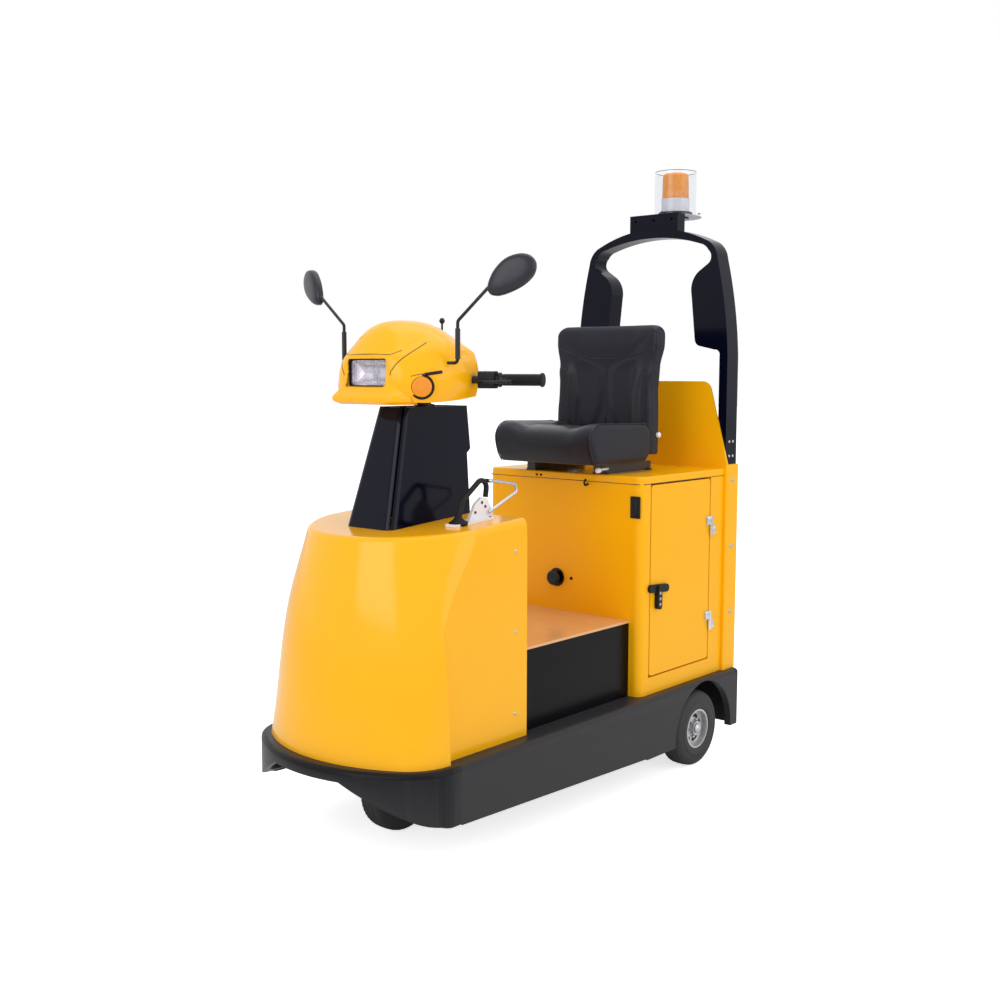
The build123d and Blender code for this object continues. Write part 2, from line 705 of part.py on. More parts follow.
# ---- handlebar, swept back at its ends
bar_bend_x = 150.0
bar_end_x = 350.0
bar_sweep = 87.0
grip_length = 124.0
grip_radius = 15.5
sweep_angle = math.degrees(math.atan2(bar_sweep, bar_end_x - bar_bend_x))
with BuildPart() as handlebar:
    with BuildLine() as bar_path:
        FilletPolyline((-bar_end_x, stem_y + bar_sweep, bar_z), (-bar_bend_x, stem_y, bar_z),
                       (bar_bend_x, stem_y, bar_z), (bar_end_x, stem_y + bar_sweep, bar_z), radius=70)
    with BuildSketch(Plane(origin=bar_path.line @ 0, z_dir=bar_path.line % 0)):
        Circle(bar_radius)
    sweep()
handlebar.part.label = "handlebar"


def bar_plane(side, back_from_end):
    """A plane square to a grip, a distance in from the bar's end."""
    turn = math.radians(sweep_angle)
    out_dir = (side * math.cos(turn), math.sin(turn), 0)
    x = side * (bar_end_x - back_from_end * math.cos(turn))
    y = stem_y + bar_sweep - back_from_end * math.sin(turn)
    return Plane(origin=(x, y, bar_z), x_dir=(0, 0, 1), z_dir=out_dir)


with BuildPart() as grips:
    for side in (-1, 1):
        with BuildSketch(bar_plane(side, grip_length)):
            Circle(grip_radius)
            Circle(bar_radius, mode=Mode.SUBTRACT)
        extrude(amount=grip_length)
        with BuildSketch(bar_plane(side, 0)):
            Circle(grip_radius + 4)
        extrude(amount=6)
grips.part.label = "grips"

switch_length = 48.0
with BuildPart() as switch_blocks:
    for side in (-1, 1):
        with BuildSketch(bar_plane(side, grip_length + switch_length + 2)):
            RectangleRounded(48, 42, 10)
            Circle(bar_radius, mode=Mode.SUBTRACT)
        extrude(amount=switch_length)
switch_blocks.part.label = "switch_blocks"

# ---- head cowl: sections from the front to the rear
# y ahead of the bar, bottom z, bottom half, widest z, widest half, shoulder z, shoulder half, crown z
cowl_sections = [
    (236.0, 1252.0, 90.0, 1300.0, 100.0, 1364.0, 84.0, 1379.0),
    (205.0, 1246.0, 130.0, 1300.0, 148.0, 1384.0, 104.0, 1428.0),
    (165.0, 1244.0, 158.0, 1304.0, 176.0, 1408.0, 118.0, 1462.0),
    (110.0, 1246.0, 172.0, 1308.0, 196.0, 1424.0, 140.0, 1472.0),
    (50.0, 1250.0, 168.0, 1312.0, 192.0, 1414.0, 146.0, 1470.0),
    (0.0, 1254.0, 156.0, 1312.0, 176.0, 1396.0, 146.0, 1452.0),
    (-56.0, 1258.0, 140.0, 1312.0, 152.0, 1377.0, 136.0, 1428.0),
]
cowl_front = cowl_sections[0][0]
cowl_rear = cowl_sections[-1][0]
lamp_half = 77.0
lamp_height = 76.0
lamp_z = 1325.0
lamp_depth = 34.0
lamp_setback = 8.0
lamp_y = stem_y - cowl_front + lamp_setback
with BuildPart() as headlamp:
    with BuildSketch(Plane.XZ.offset(-(lamp_y + lamp_depth))):
        with Locations((0, lamp_z)):
            RectangleRounded(2 * lamp_half, lamp_height, 9)
    extrude(amount=lamp_depth)
    chamfer(headlamp.faces().sort_by(Axis.Y)[0].edges(), length=3)
headlamp.part.label = "headlamp"

# ---- indicators on the cowl's front corners
indicator_x = 157.0
indicator_ahead = 180.0
indicator_z = 1287.0
indicator_turn = 42.0
indicator_radius = 30.0


def indicator_plane(side):
    """The plane of an indicator's lens on the cowl's corner."""
    turn = math.radians(indicator_turn)
    return Plane(origin=(side * indicator_x, stem_y - indicator_ahead, indicator_z),
                 x_dir=(side * math.cos(turn), math.sin(turn), 0),
                 z_dir=(side * math.sin(turn), -math.cos(turn), 0))


with BuildPart() as indicators:
    for side in (-1, 1):
        with BuildSketch(indicator_plane(side).offset(-8)):
            Circle(indicator_radius - 2)
        extrude(amount=18)
indicators.part.label = "indicators"

# ---- mirrors on stems beside the cowl
mirror_x = 227.0
mirror_ahead = 113.0
mirror_rod = 4.5
sleeve_low_z = 1362.0
sleeve_length = 82.0
mirror_foot_x = 187.0
mirror_foot_z = 1352.0
mirror_bend_z = 1464.0
mirror_joint = (336.0, 5.0, 1552.0)
with BuildPart() as mirror_stems:
    for side in (-1, 1):
        y = stem_y - mirror_ahead
        with BuildLine() as stem_path:
            FilletPolyline((side * mirror_foot_x, y, mirror_foot_z), (side * mirror_x, y, mirror_foot_z),
                           (side * mirror_x, y, mirror_bend_z),
                           (side * mirror_joint[0], y + mirror_joint[1], mirror_joint[2]), radius=12)
        with BuildSketch(Plane(origin=stem_path.line @ 0, z_dir=stem_path.line % 0)):
            Circle(mirror_rod)
        sweep(path=stem_path.line)
        with BuildSketch(Plane.XY.offset(sleeve_low_z)):
            with Locations((side * mirror_x, y)):
                Circle(7)
        extrude(amount=sleeve_length)
mirror_stems.part.label = "mirror_stems"

chin_low_z = 1238.0
chin_height = 34.0
chin_half = 128.0
chin_ahead = 252.0
chin_slope = 15.0
panel_recess = 5.0
panel_border = 18.0
with BuildPart() as head_cowl:
    for ahead, low_z, low_half, wide_z, wide_half, high_z, high_half, top_z in cowl_sections:
        with BuildSketch(Plane.XZ.offset(-(stem_y - ahead))):
            with BuildLine():
                Line((-low_half, low_z), (low_half, low_z))
                ThreePointArc((low_half, low_z), (wide_half, wide_z), (high_half, high_z))
                ThreePointArc((high_half, high_z), (0, top_z), (-high_half, high_z))
                ThreePointArc((-high_half, high_z), (-wide_half, wide_z), (-low_half, low_z))
            make_face()
    loft()
    # beak below the headlamp, its top falling away to the front
    for z, inset in ((chin_low_z, 0.0), (chin_low_z + chin_height, chin_slope)):
        with BuildSketch(Plane.XY.offset(z)):
            add(rounded_front(chin_half - inset, stem_y - chin_ahead + 52, stem_y - chin_ahead + inset,
                              46 - inset, stem_y - 168))
    loft()
    # recess for the headlamp, and a shallow one for the instruments at the rear
    with BuildSketch(Plane.XZ.offset(-(stem_y - cowl_front - 30))):
        with Locations((0, lamp_z)):
            RectangleRounded(2 * lamp_half + 2 * seat_gap, lamp_height + 2 * seat_gap, 9 + seat_gap)
    extrude(amount=-(lamp_depth + lamp_setback + 30 + seat_gap), mode=Mode.SUBTRACT)
    with BuildSketch(Plane.XZ.offset(-(stem_y - cowl_rear))):
        with Locations((0, 1348)):
            RectangleRounded(2 * (cowl_sections[-1][6] - panel_border), 88, 14)
    extrude(amount=panel_recess, mode=Mode.SUBTRACT)
    # round pods that carry the indicators
    for side in (-1, 1):
        with BuildSketch(indicator_plane(side).offset(-30)):
            Circle(indicator_radius + 4)
        extrude(amount=34)
        with BuildSketch(indicator_plane(side).offset(-8 - seat_gap)):
            Circle(indicator_radius - 2 + seat_gap)
        extrude(amount=60, mode=Mode.SUBTRACT)
    add(handlebar.part, mode=Mode.SUBTRACT)
    add(steer_stem.part, mode=Mode.SUBTRACT)
    add(mirror_stems.part, mode=Mode.SUBTRACT)
head_cowl.part.label = "head_cowl"

mirror_head_x = 390.0
mirror_head_z = 1581.0
mirror_toe = 22.0
mirror_thick = 20.0
with BuildPart() as mirror_heads:
    for side in (-1, 1):
        turn = math.radians(mirror_toe)
        face = Plane(origin=(side * mirror_head_x, stem_y - mirror_ahead + 36, mirror_head_z),
                     x_dir=(math.cos(turn), side * math.sin(turn), 0),
                     z_dir=(side * math.sin(turn), -math.cos(turn), 0))
        with BuildSketch(face) as mirror_outline:
            with BuildLine():
                ThreePointArc((-side * 66, -45), (-side * 79, -14), (-side * 58, 22))
                ThreePointArc((-side * 58, 22), (0, 46), (side * 52, 45))
                ThreePointArc((side * 52, 45), (side * 77, 27), (side * 81, -2))
                ThreePointArc((side * 81, -2), (side * 22, -37), (-side * 66, -45))
            make_face()
            fillet(mirror_outline.vertices(), radius=9)
        extrude(amount=mirror_thick)
    add(mirror_stems.part, mode=Mode.SUBTRACT)
mirror_heads.part.label = "mirror_heads"

lever_back = 65.0
lever_low_z = 1418.0
lever_ball_z = 1476.0
ball_radius = 9.0
lever_radius = 3.0
with BuildPart() as direction_lever:
    foot_y = stem_y - cowl_rear
    with BuildSketch(Plane.XZ.offset(-foot_y)):
        with Locations((0, lever_low_z)):
            Circle(lever_radius)
    extrude(amount=-(lever_back - (foot_y - stem_y) + lever_radius))
    with BuildSketch(Plane.XY.offset(lever_low_z)):
        with Locations((0, stem_y + lever_back)):
            Circle(lever_radius)
    extrude(amount=lever_ball_z - lever_low_z - 2)
    with BuildSketch(Plane.YZ):
        with BuildLine():
            Polyline((stem_y + lever_back, lever_ball_z - ball_radius),
                     (stem_y + lever_back + 0.55 * ball_radius, lever_ball_z - 0.83 * ball_radius),
                     (stem_y + lever_back + ball_radius, lever_ball_z),
                     (stem_y + lever_back + 0.55 * ball_radius, lever_ball_z + 0.83 * ball_radius),
                     (stem_y + lever_back, lever_ball_z + ball_radius), close=True)
        make_face()
    revolve(axis=Axis((0, stem_y + lever_back, 0), (0, 0, 1)))
direction_lever.part.label = "direction_lever"

# ======================================================== wheels
rim_lip = 74.0
hub_radius = 24.0


def tyre_ring(x):
    """A tyre about the X axis, its middle at x."""
    half = tyre_width / 2
    with BuildPart() as ring:
        with BuildSketch(Plane.XY):
            with BuildLine():
                Polyline((x - half + 5, bead_radius), (x + half - 5, bead_radius), (x + half, bead_radius + 24),
                         (x + half - 3, tyre_radius - 16), (x + half - 14, tyre_radius - 2), (x, tyre_radius),
                         (x - half + 14, tyre_radius - 2), (x - half + 3, tyre_radius - 16),
                         (x - half, bead_radius + 24), close=True)
            make_face()
        revolve(axis=Axis.X)
    return ring.part


window_radius = 42.0
window_arc = 40.0
window_width = 12.0
windows = 5


def rim_ring(x, side, bore_from, bore_to, hub_in, hub_out):
    """A disc rim about the X axis: barrel, dished disc with curved windows, and a hub."""
    half = tyre_width / 2 - 5
    disc = x + side * 14
    with BuildPart() as ring:
        with BuildSketch(Plane.XY):
            with BuildLine():
                Polyline((x - half, bead_radius), (x + half, bead_radius), (x + half, bead_radius - 6),
                         (disc + 3, bead_radius - 9), (disc + 3, hub_radius),
                         (max(hub_in, hub_out), hub_radius), (max(hub_in, hub_out), 0),
                         (min(hub_in, hub_out), 0), (min(hub_in, hub_out), hub_radius),
                         (disc - 3, hub_radius), (disc - 3, bead_radius - 9), (x - half, bead_radius - 6),
                         close=True)
            make_face()
        revolve(axis=Axis.X)
        with BuildSketch(Plane.YZ.offset(disc - 6)):
            for k in range(windows):
                start = 360 / windows * k
                SlotArc(arc=CenterArc((0, 0), window_radius, start, window_arc).edge(), height=window_width)
        extrude(amount=12, mode=Mode.SUBTRACT)
        with BuildSketch(Plane.YZ.offset(min(bore_from, bore_to))):
            Circle(axle_radius + shaft_gap)
        extrude(amount=abs(bore_to - bore_from), mode=Mode.SUBTRACT)
    return ring.part


wheel_spots = {
    "front": (0.0, front_wheel_y, 1, -60.0, 60.0, -48.0, 48.0),
    "rear_left": (rear_wheel_x, rear_wheel_y, 1, rear_wheel_x - 60, rear_wheel_x + 22,
                  rear_wheel_x - 46, rear_wheel_x + 34),
    "rear_right": (-rear_wheel_x, rear_wheel_y, -1, -rear_wheel_x + 60, -rear_wheel_x - 22,
                   -rear_wheel_x + 46, -rear_wheel_x - 34),
}
wheels = []
for name, (x, y, side, bore_from, bore_to, hub_in, hub_out) in wheel_spots.items():
    for kind, piece in (("tyre", tyre_ring(x)), ("rim", rim_ring(x, side, bore_from, bore_to, hub_in, hub_out))):
        placed = Location((0, y, tyre_radius)) * piece
        placed.label = f"{name}_{kind}"
        wheels.append(placed)

# ======================================================== drive axle
axle_tube_radius = 30.0
with BuildPart() as drive_axle:
    with BuildSketch(Plane.YZ):
        with Locations((rear_wheel_y, tyre_radius)):
            Circle(axle_tube_radius)
    extrude(amount=rear_wheel_x - 46 - 3, both=True)
    with BuildSketch(Plane.YZ):
        with Locations((rear_wheel_y, tyre_radius)):
            Circle(axle_radius)
    extrude(amount=rear_wheel_x + 20, both=True)
    with BuildSketch(Plane.YZ.offset(-56)):
        with Locations((rear_wheel_y, tyre_radius)):
            Circle(72)
    extrude(amount=112)
    chamfer(drive_axle.edges().filter_by(GeomType.CIRCLE).filter_by(lambda e: abs(e.radius - 72) < 0.1), length=22)
    with BuildSketch(Plane.XZ.offset(-(rear_wheel_y - 50))):
        with Locations((0, tyre_radius + 6)):
            Circle(62)
    extrude(amount=210)
    for side in (-1, 1):
        with BuildSketch(Plane.YZ.offset(side * rail_x)):
            with Locations((rear_wheel_y, (tyre_radius + rail_low_z) / 2)):
                Rectangle(70, rail_low_z - tyre_radius)
        extrude(amount=rail_width / 2 - 4, both=True)
drive_axle.part.label = "drive_axle"

# ======================================================== tow hitch
hitch_z = 200.0
hitch_reach = 90.0
jaw_gap = 56.0
jaw_thick = 12.0
pin_radius = 12.0
with BuildPart() as tow_hitch:
    with BuildSketch(Plane.XZ.offset(-rear_y)):
        with Locations((0, hitch_z)):
            RectangleRounded(150, 130, 8)
    extrude(amount=-10)
    for z in (hitch_z - jaw_gap / 2 - jaw_thick, hitch_z + jaw_gap / 2):
        with BuildSketch(Plane.XY.offset(z)):
            with Locations((0, rear_y + 30)):
                Rectangle(80, 60)
            with Locations((0, rear_y + hitch_reach - 40)):
                Circle(40)
            with Locations((0, rear_y + hitch_reach - 36)):
                Circle(pin_radius + 0.5, mode=Mode.SUBTRACT)
        extrude(amount=jaw_thick)
tow_hitch.part.label = "tow_hitch"

with BuildPart() as tow_pin:
    with BuildSketch(Plane.XY.offset(hitch_z - jaw_gap / 2 - jaw_thick - 12)):
        with Locations((0, rear_y + hitch_reach - 36)):
            Circle(pin_radius)
    extrude(amount=jaw_gap + 2 * jaw_thick + 12)
    with BuildSketch(Plane.XY.offset(hitch_z + jaw_gap / 2 + jaw_thick)):
        with Locations((0, rear_y + hitch_reach - 36)):
            Circle(20)
    extrude(amount=16)
tow_pin.part.label = "tow_pin"

# ======================================================== parking brake on the nose
brake_x = 205.0
brake_wall = 10.0
brake_y = nose_rear_y - 90.0
with BuildPart() as brake_bracket:
    with BuildSketch(Plane.YZ.offset(brake_x - 22)):
        with BuildLine():
            Polyline((brake_y - 120, roof_z(brake_y - 120) + seat_gap), (brake_y + 34, roof_z(brake_y + 34) + seat_gap),
                     (brake_y + 34, roof_z(brake_y + 34) + 8), (brake_y - 120, roof_z(brake_y - 120) + 8), close=True)
        make_face()
    extrude(amount=44)
    with BuildSketch(Plane.YZ.offset(brake_x - brake_wall / 2)) as brake_side:
        with BuildLine():
            Polyline((brake_y - 52, roof_z(brake_y - 52) + 6), (brake_y - 26, nose_top_z + 42),
                     (brake_y + 2, nose_top_z + 60), (brake_y + 24, nose_top_z + 56), (brake_y + 46, nose_top_z + 22),
                     (brake_y + 50, roof_z(brake_y + 34) + 6), close=True)
        make_face()
        fillet(brake_side.vertices().group_by(Axis.Y)[-1], radius=8)
    extrude(amount=brake_wall)
brake_bracket.part.label = "brake_bracket"

loop_radius = 4.5
with BuildPart() as brake_lever:
    loop_x = brake_x + brake_wall / 2 + loop_radius + seat_gap
    with BuildLine() as loop_path:
        FilletPolyline((loop_x, brake_y + 26, nose_top_z + 16), (loop_x, brake_y + 150, nose_top_z + 66),
                       (loop_x, brake_y + 142, nose_top_z + 88), (loop_x, brake_y + 32, nose_top_z + 106), radius=13)
    with BuildSketch(Plane(origin=loop_path.line @ 0, z_dir=loop_path.line % 0)):
        Circle(loop_radius)
    sweep()
brake_lever.part.label = "brake_lever"

# the brake's black hand hoop, from its foot ahead of the bracket over to the bracket's top
hoop_radius = 7.5
hoop_foot_y = brake_y - 92.0
with BuildPart() as brake_hoop:
    with BuildLine() as hoop_path:
        FilletPolyline((brake_x, hoop_foot_y, roof_z(hoop_foot_y) + 8 + seat_gap),
                       (brake_x, hoop_foot_y + 18, nose_top_z + 56), (brake_x, hoop_foot_y + 88, nose_top_z + 106),
                       (brake_x, brake_y + 30, nose_top_z + 110), (brake_x, brake_y + 22, nose_top_z + 58.5),
                       radius=22)
    with BuildSketch(Plane(origin=hoop_path.line @ 0, z_dir=hoop_path.line % 0)):
        Circle(hoop_radius)
    sweep()
    add(brake_bracket.part, mode=Mode.SUBTRACT)
brake_hoop.part.label = "brake_hoop"

# ======================================================== write the pieces
pieces = [
    front_bumper, side_sills, rear_apron, chassis_deck, chassis_rails, nose_shell, dash_panel,
    floor_plate, floor_risers, cabinet, seat_deck, corner_posts, rear_panel, bulkhead, door,
    door_hinges, post_hinges, door_latch, battery, stop_button, seat_slides, seat_cushion, seat_back,
    roll_bar, beacon_bracket, beacon_plate, beacon_guard, beacon_base, beacon_lens, column_cover, head_tube,
    front_fork, steer_stem, handlebar, grips, switch_blocks, head_cowl, headlamp, indicators,
    mirror_stems, mirror_heads, direction_lever, drive_axle, tow_hitch, tow_pin, brake_bracket,
    brake_lever, brake_hoop,
]
for part in [piece.part for piece in pieces] + wheels:
    export_step(part, f"parts/{part.label}.step")
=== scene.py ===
"""Looks of a ride-on baggage tow tractor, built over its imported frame.

Every length is in metres, in the frame's own axes: the front faces -Y, the left side +X, and +Z is up.
"""
import math

import bmesh
import bpy
from bpy.props import FloatProperty, FloatVectorProperty, IntProperty, PointerProperty
from mathutils import Matrix, Vector
from mathutils.bvhtree import BVHTree


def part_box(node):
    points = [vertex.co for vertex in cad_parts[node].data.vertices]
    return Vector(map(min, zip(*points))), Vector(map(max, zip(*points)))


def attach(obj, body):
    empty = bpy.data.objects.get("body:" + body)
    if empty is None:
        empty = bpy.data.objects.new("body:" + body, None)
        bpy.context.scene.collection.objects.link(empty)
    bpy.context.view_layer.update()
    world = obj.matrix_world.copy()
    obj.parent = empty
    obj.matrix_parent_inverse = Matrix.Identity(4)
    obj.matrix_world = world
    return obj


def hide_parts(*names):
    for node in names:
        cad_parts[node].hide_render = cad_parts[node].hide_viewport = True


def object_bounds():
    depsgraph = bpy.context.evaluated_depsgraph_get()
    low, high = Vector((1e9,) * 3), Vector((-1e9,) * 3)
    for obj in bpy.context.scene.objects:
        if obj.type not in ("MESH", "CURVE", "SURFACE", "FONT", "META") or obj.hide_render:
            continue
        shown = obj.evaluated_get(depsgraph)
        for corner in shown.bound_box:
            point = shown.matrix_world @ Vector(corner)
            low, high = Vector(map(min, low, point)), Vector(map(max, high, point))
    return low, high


bl_info = {
    "name": "Baggage tow tractor",
    "version": (1, 0, 0),
    "blender": (4, 5, 0),
    "location": "View3D > Sidebar > Tow Tractor",
    "description": "Dresses the packed frame of a ride-on baggage tow tractor",
    "category": "Object",
}

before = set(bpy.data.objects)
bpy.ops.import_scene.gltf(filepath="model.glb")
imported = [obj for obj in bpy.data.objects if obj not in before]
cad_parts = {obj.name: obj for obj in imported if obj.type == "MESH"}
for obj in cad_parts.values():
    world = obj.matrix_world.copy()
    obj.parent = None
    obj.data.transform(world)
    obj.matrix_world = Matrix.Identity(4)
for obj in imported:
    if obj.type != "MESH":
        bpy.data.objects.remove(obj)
CAD_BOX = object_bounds()
STEM_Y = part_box("head_cowl")[0].y + 0.252
CAB_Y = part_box("cabinet")[0].y
MM = 0.001
UP = Vector((0, 0, 1))
SIDES = (1, -1)
LEAST_RADIUS = 1e-5
MATERIALS = {}
SKINS = {}


# ------------------------------------------------------------------ small tools
def linear(code):
    """An sRGB hex colour as linear red, green and blue."""
    parts = [int(code[i:i + 2], 16) / 255 for i in (0, 2, 4)]
    return tuple(c / 12.92 if c <= 0.04045 else ((c + 0.055) / 1.055) ** 2.4 for c in parts)


def smooth(value, low, high):
    """A smooth rise from 0 at low to 1 at high."""
    t = min(1.0, max(0.0, (value - low) / (high - low)))
    return t * t * (3 - 2 * t)


def mix(a, b, t):
    return a + (b - a) * t


def table(points, at):
    """A smooth value read from (place, value) pairs."""
    if at <= points[0][0]:
        return points[0][1]
    for (a, va), (b, vb) in zip(points, points[1:]):
        if at <= b:
            return mix(va, vb, smooth(at, a, b))
    return points[-1][1]


def piece(name, mesh_maker, body, finish, shade=True):
    """A new mesh piece that rides on a body, filled in by a function that gets an empty bmesh."""
    mesh = bpy.data.meshes.new(name)
    bm = bmesh.new()
    mesh_maker(bm)
    bmesh.ops.recalc_face_normals(bm, faces=bm.faces)
    bm.to_mesh(mesh)
    bm.free()
    for polygon in mesh.polygons:
        polygon.use_smooth = shade
    obj = bpy.data.objects.new(name, mesh)
    bpy.context.collection.objects.link(obj)
    mesh.materials.append(MATERIALS[finish])
    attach(obj, body)
    return obj


def angles(count, first=0.0):
    """Even angles round a circle."""
    return [first + 2 * math.pi * i / count for i in range(count)]


def ring_stack(bm, rings, ends="capped"):
    """Skins a list of rings of points, each with the same count; the ends are capped, open or joined."""
    loops = [[bm.verts.new(p) for p in ring] for ring in rings]
    if ends == "joined":
        loops.append(loops[0])
    for a, b in zip(loops, loops[1:]):
        for i in range(len(a)):
            j = (i + 1) % len(a)
            bm.faces.new((a[i], a[j], b[j], b[i]))
    if ends == "capped":
        bm.faces.new(loops[0][::-1])
        bm.faces.new(loops[-1])


def axis_frame(direction):
    """Two unit vectors square to a direction."""
    d = Vector(direction).normalized()
    side = d.cross(UP)
    if side.length < 0.01:
        side = d.cross(Vector((0, 1, 0)))
    side.normalize()
    return side, d.cross(side).normalized()


def turned(bm, at, direction, profile, segments=24, turn=0.0):
    """A turned form about a direction; profile holds (distance along, radius) pairs."""
    at, d = Vector(at), Vector(direction).normalized()
    u, v = axis_frame(d)
    ring_stack(bm, [[at + d * along + (u * math.cos(a) + v * math.sin(a)) * max(radius, LEAST_RADIUS)
                     for a in angles(segments, turn)] for along, radius in profile])


def hex_bolt(bm, at, direction, size=10 * MM):
    """A hexagon bolt head on its washer, both standing on a face."""
    turned(bm, at, direction, [(-0.5 * MM, size * 0.98), (1.2 * MM, size * 0.98), (1.6 * MM, size * 0.9)], 28)
    turned(bm, at, direction, [(1.4 * MM, size * 0.6), (size * 0.42, size * 0.6), (size * 0.5, size * 0.5)], 6,
           turn=0.3)


def pan_screw(bm, at, direction, size=4 * MM):
    """A low domed screw head with a cross recess hinted by its flat middle."""
    turned(bm, at, direction, [(-0.5 * MM, size), (0.3 * MM, size), (size * 0.35, size * 0.82),
                               (size * 0.52, size * 0.45), (size * 0.4, size * 0.3)], 18)


def tube(bm, path, radius, segments=12, radii=None):
    """A round tube along a list of points, with rings square to its run."""
    path = [Vector(p) for p in path]
    rings, u = [], None
    for i, p in enumerate(path):
        run = (path[min(i + 1, len(path) - 1)] - path[max(i - 1, 0)]).normalized()
        if u is None:
            u = axis_frame(run)[0]
        u = (u - run * u.dot(run)).normalized()
        v = run.cross(u)
        r = radii[i] if radii else radius
        rings.append([p + (u * math.cos(a) + v * math.sin(a)) * r for a in angles(segments)])
    ring_stack(bm, rings)


def curve_points(points, steps=8):
    """A smooth run of points through a short list of them."""
    points = [Vector(p) for p in points]
    ends = [points[0] * 2 - points[1]] + points + [points[-1] * 2 - points[-2]]
    out = []
    for a, b, c, d in zip(ends, ends[1:], ends[2:], ends[3:]):
        for k in range(steps):
            t = k / steps
            out.append(0.5 * ((2 * b) + (c - a) * t + (2 * a - 5 * b + 4 * c - d) * t * t
                              + (3 * b - a - 3 * c + d) * t ** 3))
    return out + [points[-1]]


def rounded_outline(half_u, half_v, radius, steps=6):
    """A rounded rectangle as (u, v) pairs, anticlockwise."""
    out = []
    for cu, cv, start in ((1, 1, 0), (-1, 1, 90), (-1, -1, 180), (1, -1, 270)):
        for k in range(steps + 1):
            a = math.radians(start + 90 * k / steps)
            out.append((cu * (half_u - radius) + radius * math.cos(a),
                        cv * (half_v - radius) + radius * math.sin(a)))
    return out


def plate(bm, at, normal, up, outline, thick, edge=0.6 * MM):
    """A plate with a softened rim, standing on a face; outline pairs run across and along up."""
    at, n, up = Vector(at), Vector(normal).normalized(), Vector(up).normalized()
    side = up.cross(n).normalized()
    middle = Vector([sum(values) / len(outline) for values in zip(*outline)])
    rings = []
    for height, shrink in ((0.0, 0.0), (thick - edge, 0.0), (thick - edge * 0.3, edge * 0.3), (thick, edge)):
        ring = []
        for a, b in outline:
            away = Vector((a, b)) - middle
            k = 1 - shrink / max(away.length, 1e-6)
            q = middle + away * k
            ring.append(at + side * q.x + up * q.y + n * height)
        rings.append(ring)
    ring_stack(bm, rings)


# ------------------------------------------------------------------ materials
def add_node(tree, kind, settings=None, inputs=None):
    """Adds a node; settings are its own fields, and inputs are values or other nodes' outputs by socket name."""
    made = tree.nodes.new(kind)
    for field, value in (settings or {}).items():
        setattr(made, field, value)
    for socket, value in (inputs or {}).items():
        if isinstance(value, bpy.types.NodeSocket):
            tree.links.new(value, made.inputs[socket])
        else:
            made.inputs[socket].default_value = value
    return made


def fresh_tree(owner):
    """The node tree of a material or a world, switched on and emptied."""
    owner.use_nodes = True
    owner.node_tree.nodes.clear()
    return owner.node_tree


def opaque(colour):
    """A colour with full alpha, each part held to 1 at most."""
    return tuple(min(1.0, c) for c in colour) + (1.0,)


def finish_of(name, colour, roughness, grain_mm, grain_depth_mm, mottle, mottle_mm=180.0, grain="noise", wear=0.0,
              specular=0.5, ior=1.5, metallic=0.0, coat=0.0, transmission=0.0, sheen=0.0):
    """One surface: its colour with a slow mottle, its own grain as bump, and wear that lightens sharp edges."""
    material = bpy.data.materials.new(name)
    tree = fresh_tree(material)
    place = add_node(tree, "ShaderNodeTexCoord").outputs["Object"]
    slow = add_node(tree, "ShaderNodeTexNoise", None, {"Vector": place, "Scale": 1 / (mottle_mm * MM),
                                                       "Detail": 4.0}).outputs["Fac"]
    dark = opaque(c * (1 - mottle * 2.5) for c in colour)
    lit = opaque(c * (1 + mottle) for c in colour)
    shade = add_node(tree, "ShaderNodeMix", {"data_type": "RGBA"},
                     {"Factor": slow, "A": dark, "B": lit}).outputs["Result"]
    if wear:
        sharp = add_node(tree, "ShaderNodeNewGeometry").outputs["Pointiness"]
        edge = add_node(tree, "ShaderNodeMapRange", None, {"Value": sharp, "From Min": 0.52, "From Max": 0.62,
                                                           "To Min": 0.0, "To Max": wear}).outputs["Result"]
        rubbed = opaque(c * 2 + 0.12 for c in colour)
        shade = add_node(tree, "ShaderNodeMix", {"data_type": "RGBA"},
                         {"Factor": edge, "A": shade, "B": rubbed}).outputs["Result"]
    scale = 1 / (grain_mm * MM)
    if grain == "cells":
        height = add_node(tree, "ShaderNodeTexVoronoi", {"feature": "DISTANCE_TO_EDGE"},
                          {"Vector": place, "Scale": scale}).outputs["Distance"]
    else:
        if grain == "brushed":
            place = add_node(tree, "ShaderNodeMapping", None, {"Vector": place, "Scale": (1.0, 1.0, 0.04)}).outputs[0]
        height = add_node(tree, "ShaderNodeTexNoise", None, {"Vector": place, "Scale": scale,
                                                             "Detail": 3.0}).outputs["Fac"]
    bump = add_node(tree, "ShaderNodeBump", None, {"Height": height, "Strength": 1.0,
                                                   "Distance": grain_depth_mm * MM}).outputs["Normal"]
    vary = add_node(tree, "ShaderNodeMapRange", None, {"Value": slow, "To Min": max(0.0, roughness * 0.85),
                                                       "To Max": min(1.0, roughness * 1.15)}).outputs["Result"]
    skin = add_node(tree, "ShaderNodeBsdfPrincipled", None, {
        "Base Color": shade, "Roughness": vary, "Metallic": metallic, "IOR": ior, "Normal": bump,
        "Coat Weight": coat, "Coat Roughness": 0.04, "Transmission Weight": transmission,
        "Sheen Weight": sheen, "Specular IOR Level": specular})
    add_node(tree, "ShaderNodeOutputMaterial", None, {"Surface": skin.outputs[0]})
    material.diffuse_color = opaque(colour)
    return material


